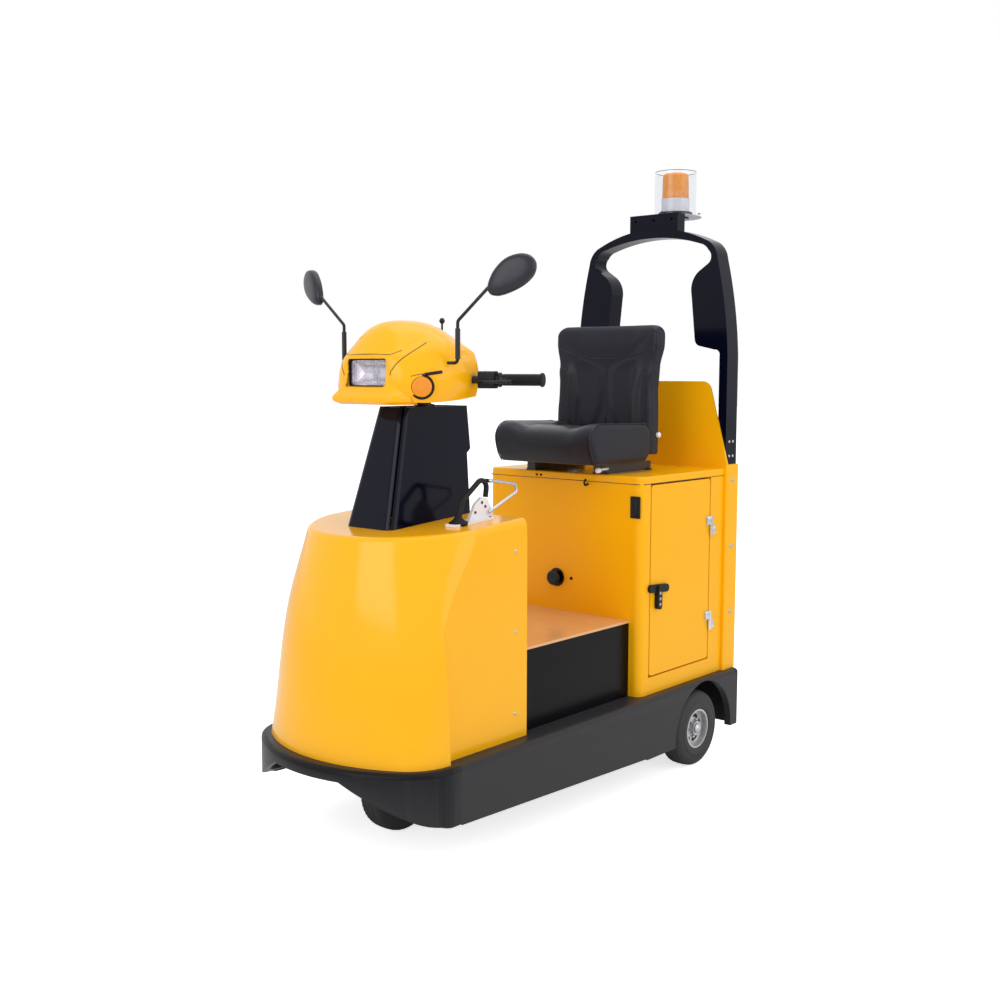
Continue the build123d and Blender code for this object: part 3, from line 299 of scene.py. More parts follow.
def materials(colours):
    """Every finish on the machine, named for the real one."""
    return {
        # two-pack polyurethane enamel sprayed on sheet steel: a wet gloss with a faint orange peel
        "body_enamel": finish_of(
            "sprayed enamel on steel", colours.body, 0.24, grain_mm=4.0, grain_depth_mm=0.012, mottle=0.012,
            specular=0.2),
        # gelcoat on moulded glass fibre: deeper gloss and a longer, softer wave than sprayed steel
        "gelcoat": finish_of(
            "gelcoat on glass fibre", colours.body, 0.15, grain_mm=14.0, grain_depth_mm=0.02, mottle=0.012,
            specular=0.32),
        # painted ABS moulding: thin clear lacquer over colour
        "painted_abs": finish_of(
            "lacquered ABS moulding", colours.body, 0.2, grain_mm=6.0, grain_depth_mm=0.006, mottle=0.012,
            specular=0.3),
        # powder coat on folded steel: satin, with a fine pebble drawn at 1.4 mm so that it shows
        "skirt_coat": finish_of(
            "powder coat on steel", colours.skirt, 0.36, grain_mm=1.4, grain_depth_mm=0.02, mottle=0.1, wear=0.25,
            specular=0.14),
        # black gloss paint on the footwell's inner wall
        "riser_paint": finish_of(
            "black gloss paint on steel", linear("08080C"), 0.25, grain_mm=3.0, grain_depth_mm=0.01, mottle=0.1,
            specular=0.12),
        # black gloss enamel with a blue cast on the roll bar's tube
        "bar_enamel": finish_of(
            "blue-black enamel on tube", colours.bar, 0.18, grain_mm=5.0, grain_depth_mm=0.008, mottle=0.06,
            specular=0.14),
        # polished black ABS moulding
        "black_abs": finish_of(
            "polished black ABS", colours.bar, 0.12, grain_mm=8.0, grain_depth_mm=0.006, mottle=0.05,
            specular=0.16),
        # matt black grained plastic
        "black_plastic": finish_of(
            "grained black plastic", linear("141417"), 0.5, grain_mm=0.9, grain_depth_mm=0.03, mottle=0.08,
            specular=0.25),
        # satin charcoal ABS of the mirror housings
        "mirror_abs": finish_of(
            "satin charcoal ABS", linear("24242F"), 0.34, grain_mm=1.2, grain_depth_mm=0.012, mottle=0.06,
            specular=0.35),
        # yellow battery vent caps
        "amber_cap": finish_of(
            "moulded vent cap", linear("D8A018"), 0.45, grain_mm=2.0, grain_depth_mm=0.01, mottle=0.03),
        # black paint on brackets and bars
        "black_paint": finish_of(
            "black paint on steel", linear("101115"), 0.35, grain_mm=1.6, grain_depth_mm=0.012, mottle=0.08,
            wear=0.3, specular=0.3),
        # natural rubber, moulded: dull, dusty in its hollows
        "tyre_rubber": finish_of(
            "moulded tyre rubber", linear("2E2C2E"), 0.72, grain_mm=1.2, grain_depth_mm=0.05, mottle=0.16,
            mottle_mm=40.0, wear=0.25),
        # soft rubber of grips and sleeves
        "grip_rubber": finish_of(
            "soft grip rubber", linear("131315"), 0.6, grain_mm=0.8, grain_depth_mm=0.03, mottle=0.08,
            specular=0.25),
        # black vinyl on foam: leather grain as small cells, a soft sheen
        "seat_vinyl": finish_of(
            "grained black vinyl", colours.seat, 0.34, grain_mm=2.2, grain_depth_mm=0.10, mottle=0.08,
            mottle_mm=60.0, grain="cells", specular=0.24, sheen=0.04),
        # smooth vinyl cord in the seams, coloured a little paler than the seat as a painted highlight
        "piping_highlight_vinyl": finish_of(
            "vinyl piping with painted highlight", linear("2C2A2E"), 0.35, grain_mm=1.0, grain_depth_mm=0.004, mottle=0.05,
            specular=0.3),
        # silver wheel paint with fine metal flake
        "silver_paint": finish_of(
            "silver wheel paint", linear("C9C9CB"), 0.3, grain_mm=1.0, grain_depth_mm=0.01, mottle=0.05,
            mottle_mm=30.0, metallic=0.85),
        # bright zinc plating on bolts and rods
        "zinc": finish_of(
            "bright zinc plating", linear("C6C8CC"), 0.26, grain_mm=0.8, grain_depth_mm=0.008, mottle=0.06,
            mottle_mm=20.0, grain="brushed", metallic=1.0),
        # polished chrome on hinges
        "chrome": finish_of(
            "polished chrome plating", linear("DADDE2"), 0.08, grain_mm=6.0, grain_depth_mm=0.004, mottle=0.02,
            metallic=1.0),
        # cast iron under a thin black coat
        "cast_iron": finish_of(
            "black coated cast iron", linear("262628"), 0.6, grain_mm=2.5, grain_depth_mm=0.12, mottle=0.15,
            mottle_mm=50.0),
        # painted floor plate, worn satin by shoes; its pale peach colour is the yellow paint with a painted
        # reflection of the white surroundings mixed in
        "floor_paint_with_reflection": finish_of(
            "enamel on floor plate with painted reflection", colours.floor, 0.26, grain_mm=3.0, grain_depth_mm=0.02, mottle=0.06,
            mottle_mm=90.0, coat=0.35),
        # amber polycarbonate lens
        "amber_lens": finish_of(
            "amber polycarbonate", linear("FF9A0C"), 0.12, grain_mm=5.0, grain_depth_mm=0.02, mottle=0.03,
            ior=1.58, transmission=0.05),
        # clear polycarbonate
        "clear_plastic": finish_of(
            "clear polycarbonate", linear("F4F6F8"), 0.03, grain_mm=30.0, grain_depth_mm=0.004, mottle=0.0,
            ior=1.3, transmission=1.0),
        # clear glass lens
        "lamp_glass": finish_of(
            "clear lamp glass", linear("FBFCFF"), 0.02, grain_mm=30.0, grain_depth_mm=0.004, mottle=0.0, ior=1.3,
            transmission=1.0),
        # frosted white plastic
        "white_plastic": finish_of(
            "frosted white plastic", linear("F4F2F8"), 0.3, grain_mm=2.0, grain_depth_mm=0.01, mottle=0.01,
            ior=1.49, transmission=0.05),
        # vacuum-plated reflector
        "reflector": finish_of(
            "aluminised reflector", linear("DCD4DE"), 0.22, grain_mm=9.0, grain_depth_mm=0.03, mottle=0.0,
            metallic=1.0),
        # silvered mirror glass
        "mirror_glass": finish_of(
            "silvered mirror glass", linear("F2F4F6"), 0.01, grain_mm=60.0, grain_depth_mm=0.001, mottle=0.0,
            metallic=1.0),
        # light grey plate paint
        "grey_paint": finish_of(
            "light grey paint on steel", linear("A9A6B6"), 0.35, grain_mm=2.0, grain_depth_mm=0.01, mottle=0.03),
        # black line lacquered on the cowl; the same dark colour is a painted shadow along the cabinet lid's edge
        "line_ink_and_shadow": finish_of(
            "black pinstripe film and painted shadow", linear("2A1608"), 0.3, grain_mm=3.0, grain_depth_mm=0.002, mottle=0.02,
            coat=0.4),
        # gloss black moulded plastic of the stop button, bezels and levers
        "gloss_black": finish_of(
            "gloss black plastic", linear("08090B"), 0.16, grain_mm=6.0, grain_depth_mm=0.004, mottle=0.03,
            specular=0.3),
    }


# ------------------------------------------------------------------ settings a user may change
class TugColours(bpy.types.PropertyGroup):
    body: FloatVectorProperty(name="Body", description="Orange-yellow of the panels", subtype="COLOR",
                              default=linear("FFB70A"), min=0, max=1)
    skirt: FloatVectorProperty(name="Skirt", description="Dark powder coat of bumper and sills", subtype="COLOR",
                               default=linear("111016"), min=0, max=1)
    bar: FloatVectorProperty(name="Roll bar", description="Blue-black enamel", subtype="COLOR",
                             default=linear("05081A"), min=0, max=1)
    seat: FloatVectorProperty(name="Seat", description="Vinyl of cushion and backrest", subtype="COLOR",
                              default=linear("191A25"), min=0, max=1)
    # the floor's pale peach default is yellow paint with a painted reflection of white mixed in
    floor: FloatVectorProperty(name="Floor plate", description="Painted floor of the footwell", subtype="COLOR",
                               default=linear("E8AE74"), min=0, max=1)


class TugSeat(bpy.types.PropertyGroup):
    bolster: FloatProperty(name="Bolster", description="How far the side bolsters stand above the middle",
                           default=0.018, min=0.0, max=0.08, unit="LENGTH")
    swell: FloatProperty(name="Swell", description="Most that the foam swells between its seams",
                         default=0.010, min=0.0, max=0.03, unit="LENGTH")
    voxel: FloatProperty(name="Remesh size", description="Size of the cloth's cells", default=0.0055,
                         min=0.003, max=0.02, unit="LENGTH")
    piping: FloatProperty(name="Piping", description="Radius of the piping on the edges", default=0.0028,
                          min=0.001, max=0.006, unit="LENGTH")


class TugWheels(bpy.types.PropertyGroup):
    grooves: IntProperty(name="Grooves", description="Grooves round the tread", default=4, min=2, max=8)
    depth: FloatProperty(name="Groove depth", description="Depth of the tread", default=0.004, min=0.0,
                         max=0.008, unit="LENGTH")
    sipes: IntProperty(name="Shoulder sipes", description="Cuts across each shoulder", default=52, min=8, max=90)


class TugStage(bpy.types.PropertyGroup):
    lens: FloatProperty(name="Lens", description="Focal length in millimetres", default=43.996, min=10, max=200)
    azimuth: FloatProperty(name="Azimuth", description="Camera's angle round the machine", default=40.80)
    elevation: FloatProperty(name="Elevation", description="Camera's angle above the level", default=5.93)
    tilt: FloatProperty(name="Tilt", description="Camera's lean to one side", default=0.13)
    key: FloatProperty(name="Key light", description="Power of the front softbox", default=52.0, min=0)
    fill: FloatProperty(name="Fill light", description="Power of the side softbox", default=36.0, min=0)
    top: FloatProperty(name="Top light", description="Power of the overhead softbox", default=46.0, min=0)


class TugSettings(bpy.types.PropertyGroup):
    colours: PointerProperty(type=TugColours)
    seat: PointerProperty(type=TugSeat)
    wheels: PointerProperty(type=TugWheels)
    stage: PointerProperty(type=TugStage)


# ------------------------------------------------------------------ carried-over pieces
NODE_FINISH = {
    "body_enamel": ["dash_panel", "cabinet", "seat_deck", "corner_posts", "rear_panel", "bulkhead", "door"],
    "gelcoat": ["nose_shell"],
    "painted_abs": ["head_cowl"],
    "skirt_coat": ["front_bumper", "side_sills", "rear_apron", "chassis_deck"],
    "riser_paint": ["floor_risers"],
    "bar_enamel": ["roll_bar", "beacon_bracket"],
    "black_abs": ["column_cover"],
    "black_plastic": ["switch_blocks", "door_latch", "brake_hoop"],
    "mirror_abs": ["mirror_heads"],
    "gloss_black": ["stop_button"],
    "black_paint": ["chassis_rails", "head_tube", "front_fork", "steer_stem", "handlebar", "mirror_stems",
                    "direction_lever", "tow_hitch", "seat_slides"],
    "tyre_rubber": ["front_tyre", "rear_left_tyre", "rear_right_tyre"],
    "grip_rubber": ["grips"],
    "seat_vinyl": ["seat_cushion", "seat_back"],
    "silver_paint": ["front_rim", "rear_left_rim", "rear_right_rim"],
    "zinc": ["tow_pin", "brake_lever"],
    "chrome": ["door_hinges", "post_hinges"],
    "cast_iron": ["battery", "drive_axle"],
    "floor_paint_with_reflection": ["floor_plate"],
    "amber_lens": ["beacon_lens", "indicators"],
    "clear_plastic": ["beacon_guard"],
    "lamp_glass": ["headlamp"],
    "white_plastic": ["beacon_base", "brake_bracket"],
    "grey_paint": ["beacon_plate"],
}


class TUG_OT_finishes(bpy.types.Operator):
    """Gives every carried-over piece its real finish"""
    bl_idname = "tug.finishes"
    bl_label = "Finishes"

    def execute(self, context):
        MATERIALS.update(materials(context.scene.tug.colours))
        for finish, nodes in NODE_FINISH.items():
            for name in nodes:
                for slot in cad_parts[name].material_slots:
                    slot.material = MATERIALS[finish]
        return {"FINISHED"}


# ------------------------------------------------------------------ seat
def pressed(obj, pinned, pressure, most, settings, frames=20):
    """Swells a closed form like foam under vinyl: cloth with pressure, pinned at its seams, then applied."""
    remesh = obj.modifiers.new("Cells", "REMESH")
    remesh.mode, remesh.voxel_size, remesh.use_smooth_shade = "VOXEL", settings.voxel, True
    bpy.context.view_layer.update()
    depsgraph = bpy.context.evaluated_depsgraph_get()
    mesh = bpy.data.meshes.new_from_object(obj.evaluated_get(depsgraph))
    obj.modifiers.clear()
    obj.data = mesh
    start = [v.co.copy() for v in mesh.vertices]
    group = obj.vertex_groups.new(name="Seams")
    for i, co in enumerate(start):
        weight = pinned(co)
        if weight > 0:
            group.add([i], weight, "REPLACE")
    cloth = obj.modifiers.new("Cloth", "CLOTH")
    s = cloth.settings
    s.vertex_group_mass = "Seams"
    s.use_pressure, s.uniform_pressure_force = True, pressure
    s.tension_stiffness = s.compression_stiffness = 40
    s.bending_stiffness = 4
    s.effector_weights.gravity = 0
    cloth.point_cache.frame_start, cloth.point_cache.frame_end = 1, frames
    scene = bpy.context.scene
    for f in range(1, frames + 1):
        scene.frame_set(f)
    depsgraph = bpy.context.evaluated_depsgraph_get()
    swollen = bpy.data.meshes.new_from_object(obj.evaluated_get(depsgraph))
    obj.modifiers.clear()
    for v, was in zip(swollen.vertices, start):
        move = v.co - was
        if move.length > most:
            v.co = was + move.normalized() * most
    obj.data = swollen
    scene.frame_set(1)
    for polygon in obj.data.polygons:
        polygon.use_smooth = True
    soften = obj.modifiers.new("Soften", "SMOOTH")
    soften.factor, soften.iterations = 0.5, 2
    finer = obj.modifiers.new("Finer", "SUBSURF")
    finer.levels = finer.render_levels = 1


CUSHION_EDGE = 12 * MM


def cushion_ring(x, half, lo, hi, settings):
    """The cushion's outline at a width, in the plane across X, as points."""
    out = max(0.0, abs(x) - (half - CUSHION_EDGE))
    inset = CUSHION_EDGE - math.sqrt(max(0.0, CUSHION_EDGE * CUSHION_EDGE - out * out))
    rise = settings.bolster * smooth(abs(x), 0.085, 0.175)
    front, back = lo.y + 3 * MM + inset, hi.y - 2 * MM - inset
    low, top = lo.z + 3 * MM + inset, hi.z - 0.024 + rise - inset
    outline = [(front + 0.034, low), (front + 0.016, low + 0.026), (front + 0.005, low + 0.058)]
    for k in range(7):
        a = math.radians(180 - 90 * k / 6)
        outline.append((front + 0.06 + 0.058 * math.cos(a), top - 0.052 + 0.052 * math.sin(a)))
    sag = 0.010 * (1 - smooth(abs(x), 0.09, 0.17))
    outline += [(mix(front + 0.06, back - 0.02, t), top - sag * math.sin(math.pi * t) - 0.006 * t)
                for t in (0.2, 0.4, 0.6, 0.8, 1.0)]
    outline += [(back, top - 0.026), (back, low + 0.02), (back - 0.02, low)]
    outline += [(mix(back - 0.02, front + 0.034, t), low) for t in (0.3, 0.6, 0.85)]
    return [Vector((x, y, z)) for y, z in outline]


def seat_widths(half):
    """Stations across the seat, close together at the rounded edges."""
    side = [half - CUSHION_EDGE + CUSHION_EDGE * math.sin(math.radians(a)) for a in (90, 70, 50, 25)]
    side += [half - inward for inward in (CUSHION_EDGE, 0.022, 0.04, 0.06, 0.08, 0.1)] + [0.09, 0.06, 0.03]
    return [-x for x in side] + [0.0] + side[::-1]


class TUG_OT_seat_cushion(bpy.types.Operator):
    """Makes the padded seat cushion with its raised sides"""
    bl_idname = "tug.seat_cushion"
    bl_label = "Seat cushion"

    def execute(self, context):
        settings = context.scene.tug.seat
        lo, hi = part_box("seat_cushion")
        half = hi.x - 3 * MM

        def build(bm):
            ring_stack(bm, [cushion_ring(x, half, lo, hi, settings) for x in seat_widths(half)])

        pad = piece("seat_pad", build, "chassis", "seat_vinyl")

        def pinned(p):
            seam_x, seam_half, seam_low = 0.128, 0.004, lo.z + 0.05
            if p.z < lo.z + 0.012 or p.y > hi.y - 0.02:
                return 1.0
            if abs(p.x) > half - 0.016:
                return 0.9
            return 1.0 if abs(abs(p.x) - seam_x) < seam_half and p.z > seam_low else 0.0

        pressed(pad, pinned, 3.2, settings.swell, settings)
        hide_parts("seat_cushion")

        def piping(bm):
            for side in (-1, 1):
                upper_edge = cushion_ring(side * (half - 7 * MM), half, lo, hi, settings)[:16]
                proud = Vector((side * 0.9 * MM, 0, 0))
                tube(bm, [p + proud for p in curve_points(upper_edge, 4)], settings.piping * 0.6, 8)

        # the piping's paler vinyl is a painted highlight along the cushion's edges
        piece("seat_piping", piping, "chassis", "piping_highlight_vinyl")
        return {"FINISHED"}


def back_half(z, lo, hi):
    """The backrest's half width at a height: a waist, then shoulders with rounded corners."""
    up = (z - lo.z) / (hi.z - lo.z)
    wide = table([(0.0, 0.199), (0.3, 0.197), (0.5, 0.192), (0.68, 0.197), (0.85, 0.213), (1.0, 0.212)], up)
    corner = 0.032
    over = max(0.0, z - (hi.z - 2 * MM - corner))
    return wide - (corner - math.sqrt(max(0.0, corner * corner - over * over)))


def back_section(z, lo, hi, settings):
    """The backrest's outline at a height, as points."""
    half = back_half(z, lo, hi)
    up = (z - lo.z) / (hi.z - lo.z)
    lean = 0.016 * (up - 0.3)
    back = hi.y - 10 * MM + lean
    front = lo.y + 0.018 + lean
    crown = 0.03
    over = max(0.0, z - (hi.z - crown)) / crown
    front += 0.018 * over * over
    back -= 0.010 * over * over
    head = 0.012 * smooth(up, 0.66, 0.8)
    points = []
    for k in range(33):
        t = -1 + 2 * k / 32
        x = half * math.copysign(1 - (1 - abs(t)) ** 1.5, t)
        bolster = 0.024 * smooth(abs(x), 0.10, 0.165) * (1 - 0.8 * smooth(up, 0.62, 0.8))
        rim = 0.022 * smooth(abs(t), 0.9, 1.0) ** 2
        points.append(Vector((x, front - bolster - head + rim, z)))
    for t in (1.0, 0.94, 0.6, 0.2, -0.2, -0.6, -0.94, -1.0):
        y = back if abs(t) < 0.99 else back - 0.012
        points.append(Vector((half * t, y, z)))
    return points


def head_seam(x):
    """How far up the backrest the seam under its head panel runs, from 0 to 1, at a place across it."""
    return 0.74 + 0.09 * (x / 0.2) ** 2


class TUG_OT_seat_back(bpy.types.Operator):
    """Makes the padded backrest with its sewn panels"""
    bl_idname = "tug.seat_back"
    bl_label = "Seat backrest"

    def execute(self, context):
        settings = context.scene.tug.seat
        lo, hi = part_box("seat_back")
        span = hi.z - lo.z
        heights = [lo.z + 4 * MM + (span - 0.037) * k / 24 for k in range(25)]
        heights += [hi.z - 2 * MM - 0.032 * (1 - math.sin(math.radians(a))) for a in (15, 35, 55, 72, 84)]

        def build(bm):
            ring_stack(bm, [back_section(z, lo, hi, settings) for z in heights])

        pad = piece("seat_backrest", build, "chassis", "seat_vinyl")

        def pinned(p):
            up = (p.z - lo.z) / span
            if p.y > lo.y + 0.045 or p.z < lo.z + 0.01:
                return 1.0
            if abs(up - head_seam(p.x)) < 0.011:
                return 1.0
            if up < head_seam(p.x):
                if abs(p.x) < 0.0035:
                    return 1.0
                side = 0.142 + 0.07 * smooth(up, 0.52, 0.66) ** 2
                if abs(abs(p.x) - side) < 0.004 and up < 0.68:
                    return 1.0
            return 0.9 if abs(p.x) > back_half(p.z, lo, hi) - 0.009 else 0.0

        pressed(pad, pinned, 1.5, settings.swell * 0.5, settings)
        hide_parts("seat_back")
        bpy.context.view_layer.update()
        depsgraph = bpy.context.evaluated_depsgraph_get()
        tree = BVHTree.FromObject(pad.evaluated_get(depsgraph), depsgraph)

        def seams(bm):
            stations = (-0.19, -0.15, -0.1, -0.05, 0.0, 0.05, 0.1, 0.15, 0.19)
            runs = [[(x, lo.z + span * head_seam(x)) for x in stations],
                    [(0.0, lo.z + span * head_seam(0.0) - 0.003), (0.0, lo.z + 0.25), (0.0, lo.z + 0.10)]]
            for side in (-1, 1):
                runs.append([(side * 0.186, lo.z + span * 0.68), (side * 0.160, lo.z + span * 0.645),
                             (side * 0.146, lo.z + span * 0.58), (side * 0.142, lo.z + span * 0.45),
                             (side * 0.142, lo.z + 0.10)])
            for run in runs:
                line = []
                for p in curve_points([(x, 0, z) for x, z in run], 6):
                    hit = tree.ray_cast(Vector((p.x, lo.y - 0.2, p.z)), Vector((0, 1, 0)))[0]
                    if hit is not None:
                        line.append(hit - Vector((0, 0.0003, 0)))
                tube(bm, line, settings.piping * 0.5, 8)

        # the seams take the piping's paler vinyl, a painted highlight
        piece("seat_back_seams", seams, "chassis", "piping_highlight_vinyl")
        return {"FINISHED"}


# ------------------------------------------------------------------ wheels
class TUG_OT_tyres(bpy.types.Operator):
    """Makes the grooved tyres that stand for the plain ones"""
    bl_idname = "tug.tyres"
    bl_label = "Tyres"

    def execute(self, context):
        w = context.scene.tug.wheels
        for node, body in (("front_tyre", "front_wheel"), ("rear_left_tyre", "rear_wheel_left"),
                           ("rear_right_tyre", "rear_wheel_right")):
            lo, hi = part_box(node)
            centre = (lo + hi) / 2
            radius, half = (hi.z - lo.z) / 2, (hi.x - lo.x) / 2
            bead, shoulder, cut_depth = 0.066, 0.013, 0.0022
            steps = w.sipes * 4
            flank = [(-half + x, r) for x, r in (
                (0.006, bead), (0.001, bead + 0.006), (0.0, bead + 0.02), (0.0004, bead + 0.026),
                (0.002, bead + 0.027), (0.001, bead + 0.032), (0.003, radius - 0.018), (0.006, radius - 0.012),
                (0.010, radius - 0.0065))]
            profile = list(flank)
            width = 2 * (half - shoulder)
            ribs = w.grooves + 1
            for k in range(ribs):
                a = -half + shoulder + width * k / ribs
                b = a + width / ribs
                crown = [radius - 0.0055 * ((x / half) ** 2) for x in (a, b)]
                profile += [(a + 0.0012, crown[0]), (b - 0.0036, crown[1])]
                if k < ribs - 1:
                    profile += [(b - 0.0026, crown[1] - w.depth), (b + 0.0002, crown[1] - w.depth)]
            profile += [(-x, r) for x, r in reversed(flank)]

            def build(bm):
                rings = []
                for i, a in enumerate(angles(steps)):
                    rings.append([])
                    for x, r in profile:
                        sipe = i % 4 == 0 and radius - shoulder < r and abs(x) > half * 0.52
                        reach = r - (cut_depth if sipe else 0.0)
                        rings[-1].append((centre.x + x, centre.y + reach * math.sin(a),
                                          centre.z + reach * math.cos(a)))
                ring_stack(bm, rings, "joined")

            tyre = piece(node.replace("_tyre", "_tread_tyre"), build, body, "tyre_rubber")
            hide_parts(node)
        return {"FINISHED"}


class TUG_OT_wheel_trim(bpy.types.Operator):
    """Adds wheel nuts and grease caps"""
    bl_idname = "tug.wheel_trim"
    bl_label = "Wheel trim"

    def execute(self, context):
        for node, body, side in (("rear_left_rim", "rear_wheel_left", 1), ("rear_right_rim", "rear_wheel_right", -1),
                                 ("front_rim", "front_wheel", 1)):
            lo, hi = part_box(node)
            centre = (lo + hi) / 2
            face = hi.x if side > 0 else lo.x
            tyre_lo, tyre_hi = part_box(node.replace("rim", "tyre"))
            disc = (tyre_lo.x + tyre_hi.x) / 2 + side * 0.017
            nut_circle = 0.031

            def nuts(bm):
                for degrees in (36, 108, 180, 252, 324):
                    a = math.radians(degrees)
                    at = (disc, centre.y + nut_circle * math.sin(a), centre.z + nut_circle * math.cos(a))
                    turned(bm, at, (side, 0, 0), [(-1 * MM, 0.0055), (6 * MM, 0.0055), (7.5 * MM, 0.004)], 6)
                turned(bm, (face - side * MM, centre.y, centre.z), (side, 0, 0),
                       [(0, 0.017), (2 * MM, 0.0168), (6 * MM, 0.014), (8.5 * MM, 0.008), (9.5 * MM, 0.001)], 28)

            piece(node.replace("rim", "wheel_nuts"), nuts, body, "zinc")
        return {"FINISHED"}


# ------------------------------------------------------------------ places shared by the trim


def skin(node):
    """A search tree over a carried-over piece's surface."""
    if node not in SKINS:
        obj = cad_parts[node]
        mesh, to_world = obj.data, obj.matrix_world
        SKINS[node] = BVHTree.FromPolygons([to_world @ v.co for v in mesh.vertices],
                                           [list(p.vertices) for p in mesh.polygons])
    return SKINS[node]


def nearest(node, point):
    """The place on a piece's surface nearest to a point, and the way that the surface faces there."""
    return skin(node).find_nearest(Vector(point))[:2]


def on_cowl(run, side=1):
    """A smooth run laid on the cowl; each point is its distance out, ahead of the stem, and height."""
    points = [Vector((side * x, STEM_Y - ahead, z)) for x, ahead, z in run]
    return [nearest("head_cowl", p)[0] for p in curve_points(points, 6)]


def bar_place(side, along):
    """A point on the swept handlebar, measured back from its end, and its outward direction."""
    lo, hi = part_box("grips")
    sweep, end_in, end_ahead = math.radians(20.0), 0.0072, 0.0194
    out = Vector((side * math.cos(sweep), math.sin(sweep), 0))
    end = Vector((side * (hi.x - end_in), hi.y - end_ahead, (lo.z + hi.z) / 2))
    return end - out * along, out


# ------------------------------------------------------------------ cowl: lamp, lines, indicators, panel
def window_rings(bm, half_u, half_v, radius, at, profile):
    """Nested rounded rectangles facing forward; profile holds (inset, depth) pairs."""
    rings = []
    for inset, depth in profile:
        outline = rounded_outline(half_u - inset, half_v - inset, max(0.001, radius - inset * 0.6), 6)
        rings.append([Vector((at.x + a, at.y + depth, at.z + b)) for a, b in outline])
    ring_stack(bm, rings, "open")


class TUG_OT_headlamp(bpy.types.Operator):
    """Makes the headlamp: black bezel, bright reflector, bulb and fluted lens"""
    bl_idname = "tug.headlamp"
    bl_label = "Headlamp"

    def execute(self, context):
        lo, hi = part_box("headlamp")
        at = Vector((0, lo.y, (lo.z + hi.z) / 2))
        half_u, half_v = hi.x, (hi.z - lo.z) / 2

        def bezel(bm):
            window_rings(bm, half_u, half_v, 0.009, at,
                         [(0.0, 0.012), (0.0, -0.0045), (0.0008, -0.0055), (0.0022, -0.0055), (0.003, -0.0045),
                          (0.0034, 0.010), (0.0, 0.012)])

        def bowl(bm):
            window_rings(bm, half_u - 0.004, half_v - 0.004, 0.008, at,
                         [(0.0, 0.006), (0.004, 0.016), (0.012, 0.024), (0.022, 0.029), (0.031, 0.0315),
                          (0.0345, 0.032)])

        def flutes(bm):
            wide, tall = half_u - 0.0032, half_v - 0.0032
            steps, flute_depth = 26 * 4, 0.0011
            back = []
            for z in (at.z - tall, at.z + tall):
                back.append([Vector((at.x - wide + 2 * wide * (i / steps),
                                     at.y + 0.0045 + flute_depth * math.sin(math.pi * ((i % 4) / 4)), z))
                             for i in range(steps + 1)])
            face = [[Vector((p.x, at.y + 0.001 + 0.0015 * (p.x / wide) ** 2, p.z)) for p in row] for row in back]
            back, face = ([[bm.verts.new(p) for p in row] for row in rows] for rows in (back, face))
            for i in range(steps):
                bm.faces.new((back[0][i], back[0][i + 1], back[1][i + 1], back[1][i]))
                bm.faces.new((face[0][i], face[1][i], face[1][i + 1], face[0][i + 1]))
                for rear, front in zip(back, face):
                    bm.faces.new((rear[i], rear[i + 1], front[i + 1], front[i]))
            for i in (0, steps):
                bm.faces.new((back[0][i], back[1][i], face[1][i], face[0][i]))

        def bulb(bm):
            turned(bm, at + Vector((0, 0.031, 0)), (0, -1, 0),
                   [(0, 0.012), (0.004, 0.012), (0.0045, 0.0075), (0.012, 0.007), (0.018, 0.005),
                    (0.0205, 0.001)], 24)

        lens = piece("headlamp_lens", flutes, "steering", "lamp_glass", shade=False)
        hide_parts("headlamp")
        piece("headlamp_bezel", bezel, "steering", "gloss_black")
        piece("headlamp_bowl", bowl, "steering", "reflector")
        piece("headlamp_bulb", bulb, "steering", "white_plastic")
        return {"FINISHED"}


class TUG_OT_cowl_lines(bpy.types.Operator):
    """Draws the cowl's moulded lines and its side slots"""
    bl_idname = "tug.cowl_lines"
    bl_label = "Cowl lines"

    def execute(self, context):
        def lines(bm):
            brow = [(-0.101, 0.199, 1.381), (-0.085, 0.229, 1.3752), (-0.04, 0.236, 1.3755), (0.0, 0.236, 1.3757),
                    (0.04, 0.236, 1.3755), (0.085, 0.229, 1.3752), (0.101, 0.199, 1.381)]
            tube(bm, on_cowl(brow), 0.0011, 6)
            for side in SIDES:
                sweep = [(0.147, 0.150, 1.415), (0.140, 0.172, 1.400), (0.133, 0.190, 1.388), (0.111, 0.214, 1.356),
                         (0.098, 0.226, 1.336), (0.091, 0.228, 1.318)]
                crease = [(0.146, 0.212, 1.316), (0.165, 0.196, 1.322), (0.186, 0.160, 1.327), (0.192, 0.137, 1.328)]
                for run, radius in ((sweep, 0.0013), (crease, 0.0010)):
                    tube(bm, on_cowl(run, side), radius, 6)

        def slots(bm):
            for side in SIDES:
                run = [(0.184, 0.190, 1.3235), (0.190, 0.165, 1.3255), (0.193, 0.137, 1.328)]
                tube(bm, on_cowl(run, side), 0.0045, 10)

        piece("cowl_lines", lines, "steering", "line_ink_and_shadow")
        piece("cowl_slots", slots, "steering", "gloss_black")
        return {"FINISHED"}


def beak_skin(t, z):
    """A point of the flared mask round the headlamp: t runs from the right rear, -1, to the left rear, 1."""
    half = table([(1.238, 0.124), (1.246, 0.139), (1.258, 0.141), (1.285, 0.127), (1.310, 0.112), (1.340, 0.102),
                  (1.374, 0.095)], z)
    ahead = table([(1.238, 0.252), (1.246, 0.266), (1.256, 0.268), (1.278, 0.252), (1.300, 0.244), (1.340, 0.239),
                   (1.374, 0.2365)], z)
    a, flat, flat_share, bow = abs(t), 0.6, 0.72, 0.004
    if a < flat:
        x = half * flat_share * a / flat
        back = bow * (a / flat) ** 2
    else:
        turn = (a - flat) / (1 - flat)
        x = half * (flat_share + (1 - flat_share) * math.sin(turn * math.pi / 2))
        back = bow + 0.052 * (1 - math.cos(turn * math.pi / 2)) + 0.012 * turn ** 3
    return Vector((math.copysign(x, t), STEM_Y - ahead + back, z))


